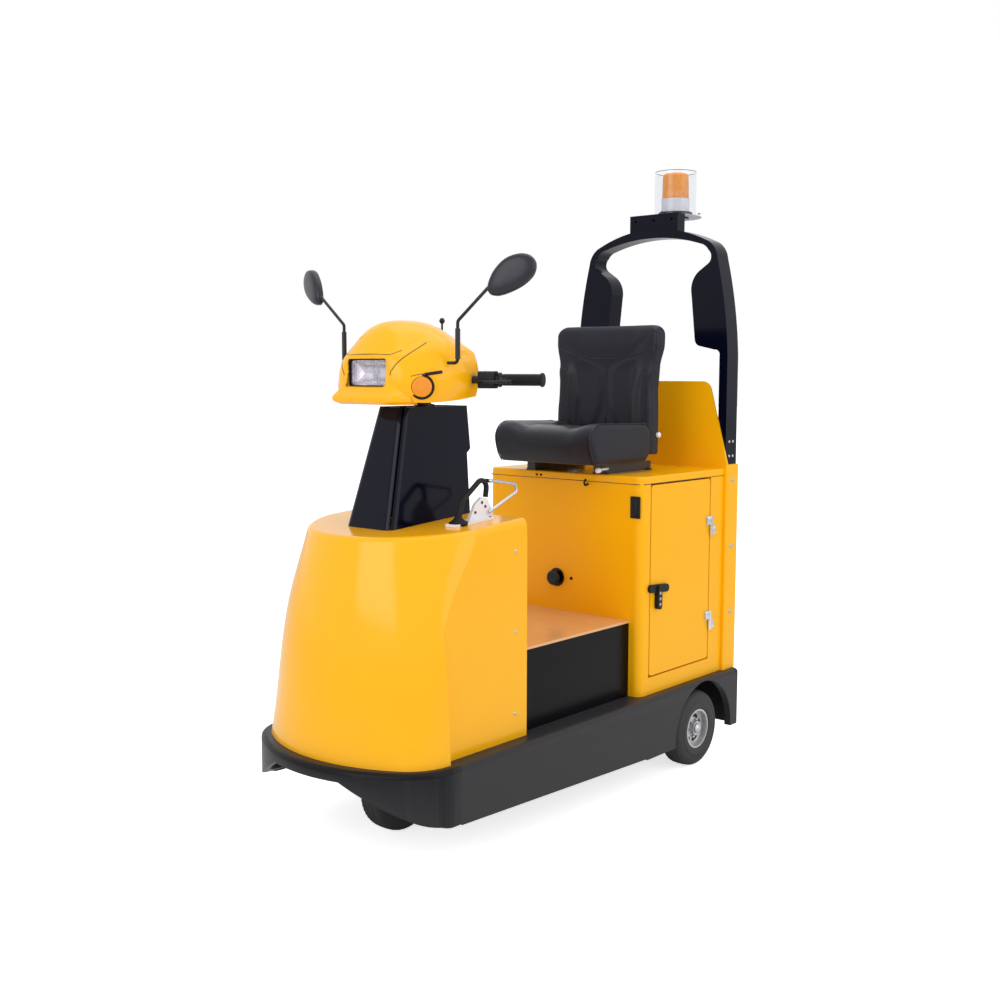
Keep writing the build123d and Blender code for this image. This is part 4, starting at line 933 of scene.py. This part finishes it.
class TUG_OT_lamp_mask(bpy.types.Operator):
    """Makes the cowl's flared mask and beak round the headlamp"""
    bl_idname = "tug.lamp_mask"
    bl_label = "Lamp mask"

    def execute(self, context):
        levels = [1.238, 1.2395, 1.242, 1.246, 1.251, 1.257, 1.263, 1.270, 1.278, 1.2865, 1.290, 1.300, 1.315, 1.330,
                  1.345, 1.3635, 1.368, 1.372, 1.374]
        spans = [-1 + 2 * k / 64 for k in range(65)]
        window_low, window_high, window_half = 1.2864, 1.3636, 0.0775

        def build(bm):
            rows = [[bm.verts.new(beak_skin(t, z)) for t in spans] for z in levels]
            for low, high, a, b in zip(levels, levels[1:], rows, rows[1:]):
                for i in range(len(spans) - 1):
                    middle = (a[i].co + b[i + 1].co) / 2
                    if not (low > window_low and high < window_high and abs(middle.x) < window_half):
                        bm.faces.new((a[i], a[i + 1], b[i + 1], b[i]))
            bmesh.ops.delete(bm, geom=[v for v in bm.verts if not v.link_faces], context="VERTS")

        mask = piece("lamp_mask", build, "steering", "painted_abs")
        wall = mask.modifiers.new("Wall", "SOLIDIFY")
        wall.thickness, wall.offset = 0.0035, -1
        return {"FINISHED"}


class TUG_OT_indicators(bpy.types.Operator):
    """Makes the ringed amber indicator lenses and their rims"""
    bl_idname = "tug.indicators"
    bl_label = "Indicators"

    def execute(self, context):
        turn, ribs = math.radians(42.0), 5
        places = [(Vector((side * 0.157, STEM_Y - 0.180, 1.287)), Vector((side * math.sin(turn), -math.cos(turn), 0)))
                  for side in SIDES]

        def lenses(bm):
            for at, out in places:
                profile = [(-0.008, 0.0275), (0.0095, 0.0275), (0.0112, 0.026)]
                for k in range(ribs):
                    r = 0.0245 - k * 0.0046
                    lift = 0.0118 + 0.0024 * (1 - (r / 0.026) ** 2)
                    profile += [(lift + 0.0011, r), (lift - 0.0004, r - 0.0023)]
                profile += [(0.0152, 0.0012), (0.0150, 0.0001)]
                turned(bm, at, out, profile, 40)

        def rims(bm):
            for at, out in places:
                turned(bm, at, out, [(0.002, 0.0345), (0.0062, 0.0342), (0.0074, 0.0328), (0.0074, 0.0296),
                                     (0.0062, 0.0284), (0.002, 0.0282)], 44)

        lens = piece("indicator_lenses", lenses, "steering", "amber_lens")
        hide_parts("indicators")
        piece("indicator_rims", rims, "steering", "gloss_black")
        return {"FINISHED"}


class TUG_OT_instruments(bpy.types.Operator):
    """Fits the plain instrument panel that faces the driver"""
    bl_idname = "tug.instruments"
    bl_label = "Instruments"

    def execute(self, context):
        middle, rear = Vector((0, STEM_Y + 0.056 - 0.005, 1.348)), (0, 1, 0)
        thick, dial_x, dial_z = 0.003, 0.048, 0.002

        def board(bm):
            plate(bm, middle, rear, UP, rounded_outline(0.112, 0.040, 0.012), thick, 0.0008)

        def rims(bm):
            dial = [(-0.001, 0.027), (0.005, 0.027), (0.006, 0.026), (0.006, 0.024), (0.0025, 0.023)]
            lock = [(-0.001, 0.0105), (0.004, 0.0105), (0.005, 0.0095), (0.005, 0.004), (0.003, 0.0035)]
            switch = [(-0.001, 0.006), (0.003, 0.006), (0.004, 0.0032), (0.016, 0.0042), (0.018, 0.003)]
            for x, z, profile, segments in ((-dial_x, dial_z, dial, 40), (dial_x, dial_z, dial, 40),
                                            (0, -0.018, lock, 28), (-0.094, 0.004, switch, 18),
                                            (0.094, 0.004, switch, 18)):
                turned(bm, middle + Vector((x, thick, z)), rear, profile, segments)

        def dials(bm):
            for x in (-dial_x, dial_x):
                turned(bm, middle + Vector((x, thick, dial_z)), rear, [(0.0, 0.0235), (0.0022, 0.0235)], 40)

        def marks(bm):
            tick, needle = rounded_outline(0.0006, 0.0022, 0.0003, 2), rounded_outline(0.0008, 0.009, 0.0006, 2)
            rows = [(-120 + 24 * k, 0.018, tick, 0.0003, 0.0001) for k in range(11)]
            rows.append((-40, 0.0065, needle, 0.0008, 0.0002))
            for x in (-dial_x, dial_x):
                at = middle + Vector((x, 0.0053, dial_z))
                for degrees, reach, outline, tall, edge in rows:
                    a = math.radians(degrees)
                    up = Vector((-math.sin(a), 0, math.cos(a)))
                    plate(bm, at + up * reach, rear, up, outline, tall, edge)

        piece("instrument_board", board, "steering", "black_plastic")
        piece("instrument_rims", rims, "steering", "zinc")
        piece("instrument_dials", dials, "steering", "gloss_black", shade=False)
        piece("instrument_marks", marks, "steering", "white_plastic", shade=False)
        return {"FINISHED"}


# ------------------------------------------------------------------ mirrors, grips, switches
class TUG_OT_mirrors(bpy.types.Operator):
    """Makes the domed mirror housings with their glass to the rear"""
    bl_idname = "tug.mirrors"
    bl_label = "Mirrors"

    def execute(self, context):
        turn = math.radians(22.0)
        outline = [(-62, -39), (-57, -15), (-43, 14), (-16, 42), (18, 54), (45, 49), (60, 28), (56, 0), (35, -24),
                   (5, -42), (-29, -54), (-51, -52)]
        centre, stretch = Vector((2.0, 0.0)), 1.1
        joint_x, joint_y, joint_z = 0.390, STEM_Y - 0.113 + 0.036, 1.581
        egg = [p.xy for p in curve_points([(u, v, 0) for u, v in outline + outline[:1]], 3)][:-1]

        def shells(bm, profile):
            """Skins both mirrors; profile holds (share of the outline, millimetres ahead) pairs."""
            for side in SIDES:
                out = Vector((side * math.sin(turn), -math.cos(turn), 0))
                across = Vector((math.cos(turn), side * math.sin(turn), 0))
                joint = Vector((side * joint_x, joint_y, joint_z))
                rings = []
                for share, depth in profile:
                    ring = [centre + (p - centre) * share for p in egg]
                    rings.append([joint + across * (side * q.x * stretch * MM) + Vector((0, 0, q.y * MM))
                                  + out * (depth * MM) for q in ring])
                ring_stack(bm, rings)

        def housing(bm):
            shells(bm, [(0.93, 1.2), (0.975, 0.0), (1.0, 1.6), (1.0, 9.0), (0.985, 14.0), (0.94, 18.5), (0.86, 21.5),
                        (0.72, 23.6), (0.5, 25.0), (0.2, 25.6)])

        def glass(bm):
            shells(bm, [(0.9, 1.4), (0.9, 0.5), (0.885, 0.2)])

        shell = piece("mirror_housings", housing, "steering", "mirror_abs")
        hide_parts("mirror_heads")
        piece("mirror_glasses", glass, "steering", "mirror_glass", shade=False)
        return {"FINISHED"}


class TUG_OT_grips(bpy.types.Operator):
    """Makes the ribbed rubber grips"""
    bl_idname = "tug.grips"
    bl_label = "Grips"

    def execute(self, context):
        length, ribs = 0.124, 22
        ribbed = length - 0.016
        hollow, crest, flange = 0.0150, 0.0165, 0.0205

        def build(bm):
            for side in SIDES:
                end, out = bar_place(side, 0.0)
                profile = [(-length, 0.0112), (-length, flange), (-length + 0.004, flange), (-length + 0.006, crest)]
                for k in range(ribs):
                    a = -length + 0.010 + ribbed * k / ribs
                    step = ribbed / ribs
                    profile += [(a, hollow), (a + step * 0.35, hollow), (a + step * 0.5, crest),
                                (a + step * 0.9, crest)]
                profile += [(-0.001, crest), (0.0, 0.0196), (0.005, 0.0196), (0.0065, 0.018), (0.0065, 0.004)]
                turned(bm, end, out, profile, 30)

        grips = piece("ribbed_grips", build, "steering", "grip_rubber")
        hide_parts("grips")
        return {"FINISHED"}


class TUG_OT_switches(bpy.types.Operator):
    """Adds the thumb switches, clamp screws and hand levers by the grips"""
    bl_idname = "tug.switches"
    bl_label = "Switches"

    def execute(self, context):
        block, lever_root = 0.150, 0.176

        def thumbs(bm):
            for side in SIDES:
                at, out = bar_place(side, block)
                face = at + Vector((0, 1, 0)) * 0.0225
                for along, z in ((-0.010, 0.008), (0.010, 0.008), (0.0, -0.010)):
                    turned(bm, face + out * along + Vector((0, 0, z)), (0, 1, 0),
                           [(-0.003, 0.0052), (0.0035, 0.0052), (0.0045, 0.0042)], 18)

        def screws(bm):
            for side in SIDES:
                at, out = bar_place(side, block)
                for along in (-0.016, 0.016):
                    pan_screw(bm, at + out * along + Vector((0, 0, 0.0238)), UP, 0.0032)

        def levers(bm):
            for side in SIDES:
                at, out = bar_place(side, lever_root)
                ahead = out.cross(UP) * side
                if ahead.y > 0:
                    ahead = -ahead
                run = [at + ahead * reach + out * along for reach, along in (
                    (0.012, 0.0), (0.034, -0.004), (0.048, 0.018), (0.050, 0.052), (0.044, 0.090), (0.046, 0.104))]
                points = curve_points([p - Vector((0, 0, 0.006)) for p in run], 6)
                count = len(points)
                tube(bm, points, 0.004, 12, [mix(0.0062, 0.0042, smooth(i, 0, count * 0.5)) if i < count - 4
                                             else 0.0058 for i in range(count)])

        piece("thumb_switches", thumbs, "steering", "gloss_black")
        piece("switch_screws", screws, "steering", "zinc")
        piece("hand_levers", levers, "steering", "gloss_black")
        return {"FINISHED"}


# ------------------------------------------------------------------ beacon
class TUG_OT_beacon(bpy.types.Operator):
    """Makes the fluted amber dome, its lamp core, the guard's rims and the foot"""
    bl_idname = "tug.beacon"
    bl_label = "Beacon"

    def execute(self, context):
        lo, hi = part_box("beacon_lens")
        at = Vector(((lo.x + hi.x) / 2, (lo.y + hi.y) / 2, lo.z))
        tall, radius = hi.z - lo.z, (hi.x - lo.x) / 2
        guard_lo, guard_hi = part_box("beacon_guard")
        guard = (guard_hi.x - guard_lo.x) / 2 - 0.001
        plate_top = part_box("beacon_plate")[1].z
        flutes, flute_depth, bolt_circle = 36, 0.0009, 0.086

        def dome(bm):
            rings = []
            profile = [(0.0, 1.0), (0.004, 1.0), (0.0045, 0.975), (tall * 0.55, 0.962), (tall - 0.012, 0.945),
                       (tall - 0.005, 0.90), (tall - 0.0015, 0.80), (tall, 0.62), (tall, 0.3), (tall, 0.02)]
            for z, share in profile:
                fluted = 0.004 < z < tall - 0.001 and share > 0.7
                rings.append([])
                for a in angles(flutes * 4):
                    r = radius * share + (flute_depth * (math.cos(flutes * a) - 1) if fluted else 0.0)
                    rings[-1].append(at + Vector((math.cos(a) * r, math.sin(a) * r, z)))
            ring_stack(bm, rings)

        def core(bm):
            turned(bm, at, UP, [(0.001, 0.030), (0.006, 0.030), (0.008, 0.022), (0.060, 0.020), (0.064, 0.012)],
                   28)

        def rims(bm):
            for z, r in ((guard_hi.z - 0.0012, 0.0010), (guard_lo.z + 0.0012, 0.0016)):
                tube(bm, [(at.x + math.cos(a) * guard, at.y + math.sin(a) * guard, z)
                          for a in angles(72) + [2 * math.pi]], r, 6)

        def foot(bm):
            turned(bm, (at.x, at.y, plate_top), UP,
                   [(-0.0005, 0.062), (0.005, 0.061), (0.0065, 0.058), (0.0065, 0.051)], 48)
            for degrees in (30, 150, 270):
                a = math.radians(degrees)
                hex_bolt(bm, (at.x + bolt_circle * math.cos(a), at.y + bolt_circle * math.sin(a), plate_top),
                         UP, 0.006)

        amber = piece("beacon_dome", dome, "chassis", "amber_lens")
        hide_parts("beacon_lens")
        piece("beacon_core", core, "chassis", "reflector")
        piece("guard_rims", rims, "chassis", "gloss_black")
        piece("beacon_foot", foot, "chassis", "black_plastic")
        return {"FINISHED"}


# ------------------------------------------------------------------ body hardware
class TUG_OT_body_hardware(bpy.types.Operator):
    """Adds the bolts, screws, latch and cabinet fittings"""
    bl_idname = "tug.body_hardware"
    bl_label = "Body hardware"

    def execute(self, context):
        post_lo, post_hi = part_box("corner_posts")
        cab_lo, cab_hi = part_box("cabinet")
        bar_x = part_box("roll_bar")[1].x
        nose_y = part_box("nose_shell")[1].y - 0.052
        apron_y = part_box("rear_apron")[1].y + 0.010
        button_x, button_z, rib_circle = -0.018, 0.645, 0.0238
        hinge_heights = (0.482, 0.810)

        def bolts(bm):
            for side in SIDES:
                for z in (0.494, 0.727, 0.957):
                    hex_bolt(bm, (side * post_hi.x, (post_lo.y + post_hi.y) / 2, z), (side, 0, 0), 0.0085)
                for y in (0.720, 0.744):
                    for z in (1.040, 1.090):
                        pan_screw(bm, (side * bar_x, y, z), (side, 0, 0), 0.005)
                for z in (0.364, 0.600, 0.830):
                    pan_screw(bm, *nearest("nose_shell", (side * 0.34, nose_y, z)), 0.0055)
            for x in (-0.055, 0.055):
                for z in (0.150, 0.250):
                    hex_bolt(bm, (x, apron_y, z), (0, 1, 0), 0.009)

        def seat_bolts(bm):
            lo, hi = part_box("seat_back")
            for side in SIDES:
                turned(bm, (side * (hi.x - 0.018), lo.y + 0.040, 1.119), (side, 0, 0),
                       [(-0.004, 0.009), (0.006, 0.009), (0.0085, 0.007), (0.0095, 0.003)], 24)

        def latch_holes(bm):
            lo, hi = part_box("door_latch")
            for z in (0.583, 0.601, 0.619):
                turned(bm, (hi.x - 0.0004, lo.y + 0.052, z), (1, 0, 0), [(0, 0.0056), (0.0007, 0.0054)], 20)

        # a dark line round the cabinet lid's edge: a painted shadow under the lid's lip
        def lid_shadow_line(bm):
            corner, proud, radius, z = 0.009, 0.0002, 0.0011, cab_hi.z
            for x in (cab_hi.x + proud, cab_lo.x - proud):
                tube(bm, [(x, cab_lo.y + corner, z), (x, cab_hi.y, z)], radius, 6)
            y = cab_lo.y - proud
            tube(bm, [(cab_lo.x + corner, y, z), (cab_hi.x - corner, y, z)], radius, 6)

        def fittings(bm):
            stud = [(-0.0004, 0.0042), (0.002, 0.0040), (0.0026, 0.003)]
            key = [(-0.0004, 0.0055), (0.003, 0.0052), (0.004, 0.0038)]
            collar = [(-0.0004, 0.031), (0.002, 0.031), (0.003, 0.029)]
            for x, z, profile, segments in ((-0.107, 0.985, stud, 18), (-0.089, 0.985, stud, 18),
                                            (0.043, 0.647, key, 20), (button_x, button_z, collar, 40)):
                turned(bm, (x, CAB_Y, z), (0, -1, 0), profile, segments)
            hook = [(0.108, CAB_Y + y, z) for y, z in ((0.001, 0.966), (-0.016, 0.963), (-0.020, 0.974),
                                                       (-0.012, 0.981))]
            tube(bm, curve_points(hook, 6), 0.0035, 10)

        def socket(bm):
            flap = 0.0035
            for y, outline, thick in ((CAB_Y, rounded_outline(0.0185, 0.035, 0.003), flap),
                                      (CAB_Y - flap, rounded_outline(0.012, 0.027, 0.002), 0.004)):
                plate(bm, (0.2965, y, 0.902), (0, -1, 0), UP, outline, thick)

        def knob_ribs(bm):
            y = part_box("stop_button")[0].y + 0.004
            for a in angles(18):
                turned(bm, (button_x + rib_circle * math.cos(a), y, button_z + rib_circle * math.sin(a)), (0, 1, 0),
                       [(0.0, 0.0016), (0.0095, 0.0016)], 8)

        piece("frame_bolts", bolts, "chassis", "zinc")
        piece("seat_pivot_bolts", seat_bolts, "chassis", "white_plastic")
        # each half of the hinges: the edge that it hangs from, and which way its leaves run from there
        for half, body, edge, run in (("door", "door_leaf", 0, 1), ("post", "chassis", 1, -1)):
            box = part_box(half + "_hinges")
            face, rim = box[0].x, box[edge].y

            def lobes(bm):
                for z in hinge_heights:
                    plate(bm, (face + 0.0025, rim + run * 0.0135, z + run * 0.0175), (1, 0, 0), UP,
                          rounded_outline(0.0125, 0.0145, 0.005), 0.0075, 0.0032)

            def screws(bm):
                for z in hinge_heights:
                    for rise in (0.010, 0.026):
                        pan_screw(bm, (face + 0.003, rim + run * 0.010, z + run * rise), (1, 0, 0), 0.0036)

            piece(half + "_hinge_lobes", lobes, body, "chrome")
            piece(half + "_hinge_screws", screws, body, "zinc")
        piece("latch_holes", latch_holes, "door_leaf", "grey_paint")
        piece("lid_painted_shadow", lid_shadow_line, "chassis", "line_ink_and_shadow")
        piece("cabinet_fittings", fittings, "chassis", "gloss_black")
        piece("charge_socket_cover", socket, "chassis", "black_plastic")
        piece("stop_button_ribs", knob_ribs, "chassis", "gloss_black")
        return {"FINISHED"}


class TUG_OT_brake_fittings(bpy.types.Operator):
    """Adds the parking brake's rubber boot, pins and screws"""
    bl_idname = "tug.brake_fittings"
    bl_label = "Brake fittings"

    def execute(self, context):
        lo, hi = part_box("brake_hoop")
        lever_lo, lever_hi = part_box("brake_lever")
        foot = Vector(((lo.x + hi.x) / 2, lo.y + 0.0075, 0.0))
        place, normal = nearest("nose_shell", foot + Vector((0, 0, 0.915)))

        def boot(bm):
            turned(bm, place + Vector((0, 0, 0.0055)), normal,
                   [(-0.004, 0.027), (0.004, 0.027), (0.0055, 0.0255), (0.007, 0.020), (0.0095, 0.019),
                    (0.011, 0.0145), (0.015, 0.0135), (0.0165, 0.0105), (0.021, 0.0095), (0.022, 0.0078)], 36)

        def screws(bm):
            side_x = lever_lo.x - 0.0007
            for y, z in ((-0.474, 0.936), (-0.432, 0.950), (-0.446, 0.962)):
                pan_screw(bm, (side_x, y, z), (1, 0, 0), 0.0046)
            for y in (-0.545, -0.520, -0.425):
                for x in (0.189, 0.221):
                    pan_screw(bm, *nearest("brake_bracket", (x, y, 0.93)), 0.0034)

        def link_pin(bm):
            turned(bm, (lo.x + 0.001, lever_lo.y + 0.0065, lever_hi.z - 0.0055), (1, 0, 0),
                   [(0.0, 0.0058), (0.0215, 0.0058), (0.023, 0.0046)], 20)

        piece("brake_link_pin", link_pin, "chassis", "zinc")
        piece("brake_boot", boot, "chassis", "grip_rubber")
        piece("brake_screws", screws, "chassis", "black_paint")
        return {"FINISHED"}


class TUG_OT_seat_fittings(bpy.types.Operator):
    """Adds the seat's runner feet and its adjuster knob"""
    bl_idname = "tug.seat_fittings"
    bl_label = "Seat fittings"

    def execute(self, context):
        lo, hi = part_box("seat_slides")
        thick = 0.005

        def feet(bm):
            for x in (-0.140, 0.140):
                for y in (lo.y + 0.018, hi.y - 0.018):
                    plate(bm, (x, y, lo.z), UP, (0, 1, 0), rounded_outline(0.027, 0.012, 0.003), thick, 0.001)
                    for side in SIDES:
                        hex_bolt(bm, (x + side * 0.0215, y, lo.z + thick), UP, 0.0042)

        def knob(bm):
            at = Vector((0.162, lo.y - 0.001, lo.z + 0.017))
            rod = [at + Vector(step) for step in ((-0.02, 0.06, 0), (0, 0.02, 0), (0, 0, 0), (0, -0.022, -0.003))]
            tube(bm, curve_points(rod, 5), 0.004, 10)
            turned(bm, at + Vector((0, -0.018, -0.002)), (0, -1, 0),
                   [(0, 0.005), (0.002, 0.0085), (0.014, 0.0092), (0.018, 0.006), (0.019, 0.001)], 20)

        piece("seat_runner_feet", feet, "chassis", "black_paint")
        piece("seat_adjuster", knob, "chassis", "white_plastic")
        return {"FINISHED"}


class TUG_OT_battery_tops(bpy.types.Operator):
    """Adds cell lids, straps and caps to the battery behind the door"""
    bl_idname = "tug.battery_tops"
    bl_label = "Battery tops"

    def execute(self, context):
        lo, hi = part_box("battery")
        across, along, lid = 4, 3, 0.006
        cell_x, cell_y = (hi.x - lo.x) / across, (hi.y - lo.y) / along

        def cells(columns, right, up):
            """The middle of each cell's top, moved to the right and up."""
            return [Vector((lo.x + cell_x * (i + 0.5) + right, lo.y + cell_y * (j + 0.5), hi.z + up))
                    for i in range(columns) for j in range(along)]

        def lids(bm):
            outline = rounded_outline(cell_x / 2 - 0.003, cell_y / 2 - 0.003, 0.006)
            for at in cells(across, 0, 0):
                plate(bm, at, UP, (0, 1, 0), outline, lid, 0.002)

        def caps(bm):
            for at in cells(across, 0, lid):
                turned(bm, at, UP, [(-0.001, 0.016), (0.010, 0.016), (0.012, 0.014), (0.012, 0.004)], 20)

        def links(bm):
            for a in cells(across - 1, 0.045, 0.007):
                b = a + Vector((cell_x - 0.09, 0, 0))
                outline = rounded_outline(abs(b.x - a.x) / 2 + 0.012, 0.010, 0.004)
                plate(bm, (a + b) / 2, UP, (0, 1, 0), outline, 0.004, 0.001)

        piece("battery_lids", lids, "chassis", "grey_paint")
        piece("battery_caps", caps, "chassis", "amber_cap")
        piece("battery_links", links, "chassis", "zinc")
        return {"FINISHED"}


class TUG_OT_tow_ring(bpy.types.Operator):
    """Adds the lifting ring on the tow pin"""
    bl_idname = "tug.tow_ring"
    bl_label = "Tow pin ring"

    def execute(self, context):
        lo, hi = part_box("tow_pin")
        at = Vector(((lo.x + hi.x) / 2, (lo.y + hi.y) / 2, hi.z))
        radius = 0.020

        def ring(bm):
            turned(bm, at - Vector((0, 0, 0.001)), UP, [(0, 0.010), (0.008, 0.009), (0.010, 0.006)], 20)
            tube(bm, [at + Vector((radius * math.cos(a), 0, 0.024 + radius * math.sin(a)))
                      for a in angles(32) + [2 * math.pi]], 0.003, 10)

        piece("tow_pin_ring", ring, "chassis", "zinc")
        return {"FINISHED"}


# ------------------------------------------------------------------ stage
class TUG_OT_stage(bpy.types.Operator):
    """Sets the pale floor, the soft lights and the camera"""
    bl_idname = "tug.stage"
    bl_label = "Stage"

    def execute(self, context):
        s = context.scene.tug.stage
        scene = context.scene
        scene.view_settings.view_transform = "Standard"
        lo, hi = CAD_BOX
        # floor: pale, catches a soft shadow; seen directly it is white
        mesh = bpy.data.meshes.new("floor")
        bm = bmesh.new()
        bmesh.ops.create_grid(bm, x_segments=2, y_segments=2, size=40)
        bm.to_mesh(mesh)
        bm.free()
        floor = bpy.data.objects.new("floor", mesh)
        scene.collection.objects.link(floor)
        ground = bpy.data.materials.new("pale studio floor")
        tree = fresh_tree(ground)
        diffuse = add_node(tree, "ShaderNodeBsdfDiffuse", None, {"Color": (0.93, 0.93, 0.93, 1)})
        glow = add_node(tree, "ShaderNodeEmission", None, {"Color": (1, 1, 1, 1), "Strength": 0.72})
        both = add_node(tree, "ShaderNodeAddShader", None, {0: diffuse.outputs[0], 1: glow.outputs[0]})
        rays = add_node(tree, "ShaderNodeLightPath")
        pick = add_node(tree, "ShaderNodeMixShader", None, {0: rays.outputs["Is Camera Ray"],
                                                            1: diffuse.outputs[0], 2: both.outputs[0]})
        add_node(tree, "ShaderNodeOutputMaterial", None, {"Surface": pick.outputs[0]})
        mesh.materials.append(ground)

        world = bpy.data.worlds.new("studio")
        scene.world = world
        tree = fresh_tree(world)
        rays = add_node(tree, "ShaderNodeLightPath")
        seen = add_node(tree, "ShaderNodeMath", {"operation": "MAXIMUM"},
                        {0: rays.outputs["Is Camera Ray"], 1: rays.outputs["Is Transmission Ray"]})
        seen = add_node(tree, "ShaderNodeMath", {"operation": "MAXIMUM"},
                        {0: seen.outputs[0], 1: rays.outputs["Is Glossy Ray"]})
        plain = add_node(tree, "ShaderNodeBackground", None, {"Color": (1, 1, 1, 1), "Strength": 0.74})
        white = add_node(tree, "ShaderNodeBackground", None, {"Color": (1, 1, 1, 1), "Strength": 1.0})
        pick = add_node(tree, "ShaderNodeMixShader", None, {0: seen.outputs[0], 1: plain.outputs[0],
                                                            2: white.outputs[0]})
        add_node(tree, "ShaderNodeOutputWorld", None, {"Surface": pick.outputs[0]})

        middle = Vector((0, (lo.y + hi.y) / 2, 0.9))
        for name, place, size, power in (("front_softbox", (0.3, lo.y - 3.6, 2.6), 2.6, s.key),
                                         ("side_softbox", (4.2, 0.6, 2.2), 3.0, s.fill),
                                         ("top_softbox", (0.2, 0.3, 4.6), 3.6, s.top)):
            light = bpy.data.lights.new(name, "AREA")
            light.shape, light.size, light.energy = "SQUARE", size, power
            lamp = bpy.data.objects.new(name, light)
            lamp.location = place
            lamp.rotation_mode = "QUATERNION"
            lamp.rotation_quaternion = (middle - Vector(place)).to_track_quat("-Z", "Y")
            scene.collection.objects.link(lamp)

        cam = bpy.data.objects.new("camera", bpy.data.cameras.new("camera"))
        scene.collection.objects.link(cam)
        cam.data.sensor_width, cam.data.lens = 36.0, s.lens
        a, e = math.radians(s.azimuth), math.radians(s.elevation)
        back = Vector((math.sin(a) * math.cos(e), -math.cos(a) * math.cos(e), math.sin(e)))
        right = (-back).cross(UP).normalized()
        up = right.cross(-back)
        tilt = math.radians(s.tilt)
        side = right * math.cos(tilt) + up * math.sin(tilt)
        top = -right * math.sin(tilt) + up * math.cos(tilt)
        turn = Matrix((side, top, back)).transposed().to_4x4()
        stand = Vector((2.4854, lo.y - 2.0604, 1.3248))
        cam.matrix_world = Matrix.Translation(stand) @ turn
        scene.camera = cam
        return {"FINISHED"}


# ------------------------------------------------------------------ panel and run
STEPS = (TUG_OT_finishes, TUG_OT_stage, TUG_OT_seat_cushion, TUG_OT_seat_back, TUG_OT_seat_fittings,
         TUG_OT_tyres, TUG_OT_wheel_trim, TUG_OT_headlamp, TUG_OT_lamp_mask, TUG_OT_cowl_lines,
         TUG_OT_indicators, TUG_OT_instruments, TUG_OT_mirrors, TUG_OT_grips, TUG_OT_switches, TUG_OT_beacon,
         TUG_OT_body_hardware, TUG_OT_brake_fittings, TUG_OT_battery_tops, TUG_OT_tow_ring)


class TUG_PT_panel(bpy.types.Panel):
    """Lists the steps that dress the tow tractor"""
    bl_label = "Tow Tractor"
    bl_idname = "TUG_PT_panel"
    bl_space_type = "VIEW_3D"
    bl_region_type = "UI"
    bl_category = "Tow Tractor"

    def draw(self, context):
        for step in STEPS:
            self.layout.operator(step.bl_idname)
        for group in ("colours", "seat", "wheels", "stage"):
            settings = getattr(context.scene.tug, group)
            for field in settings.__annotations__:
                self.layout.prop(settings, field)


CLASSES = (TugColours, TugSeat, TugWheels, TugStage, TugSettings, *STEPS, TUG_PT_panel)


def register():
    for cls in CLASSES:
        bpy.utils.register_class(cls)
    bpy.types.Scene.tug = PointerProperty(type=TugSettings)


def unregister():
    del bpy.types.Scene.tug
    for cls in reversed(CLASSES):
        bpy.utils.unregister_class(cls)


def main():
    register()
    for step in STEPS:
        group, name = step.bl_idname.split(".")
        getattr(getattr(bpy.ops, group), name)()


if __name__ == "__main__":
    main()
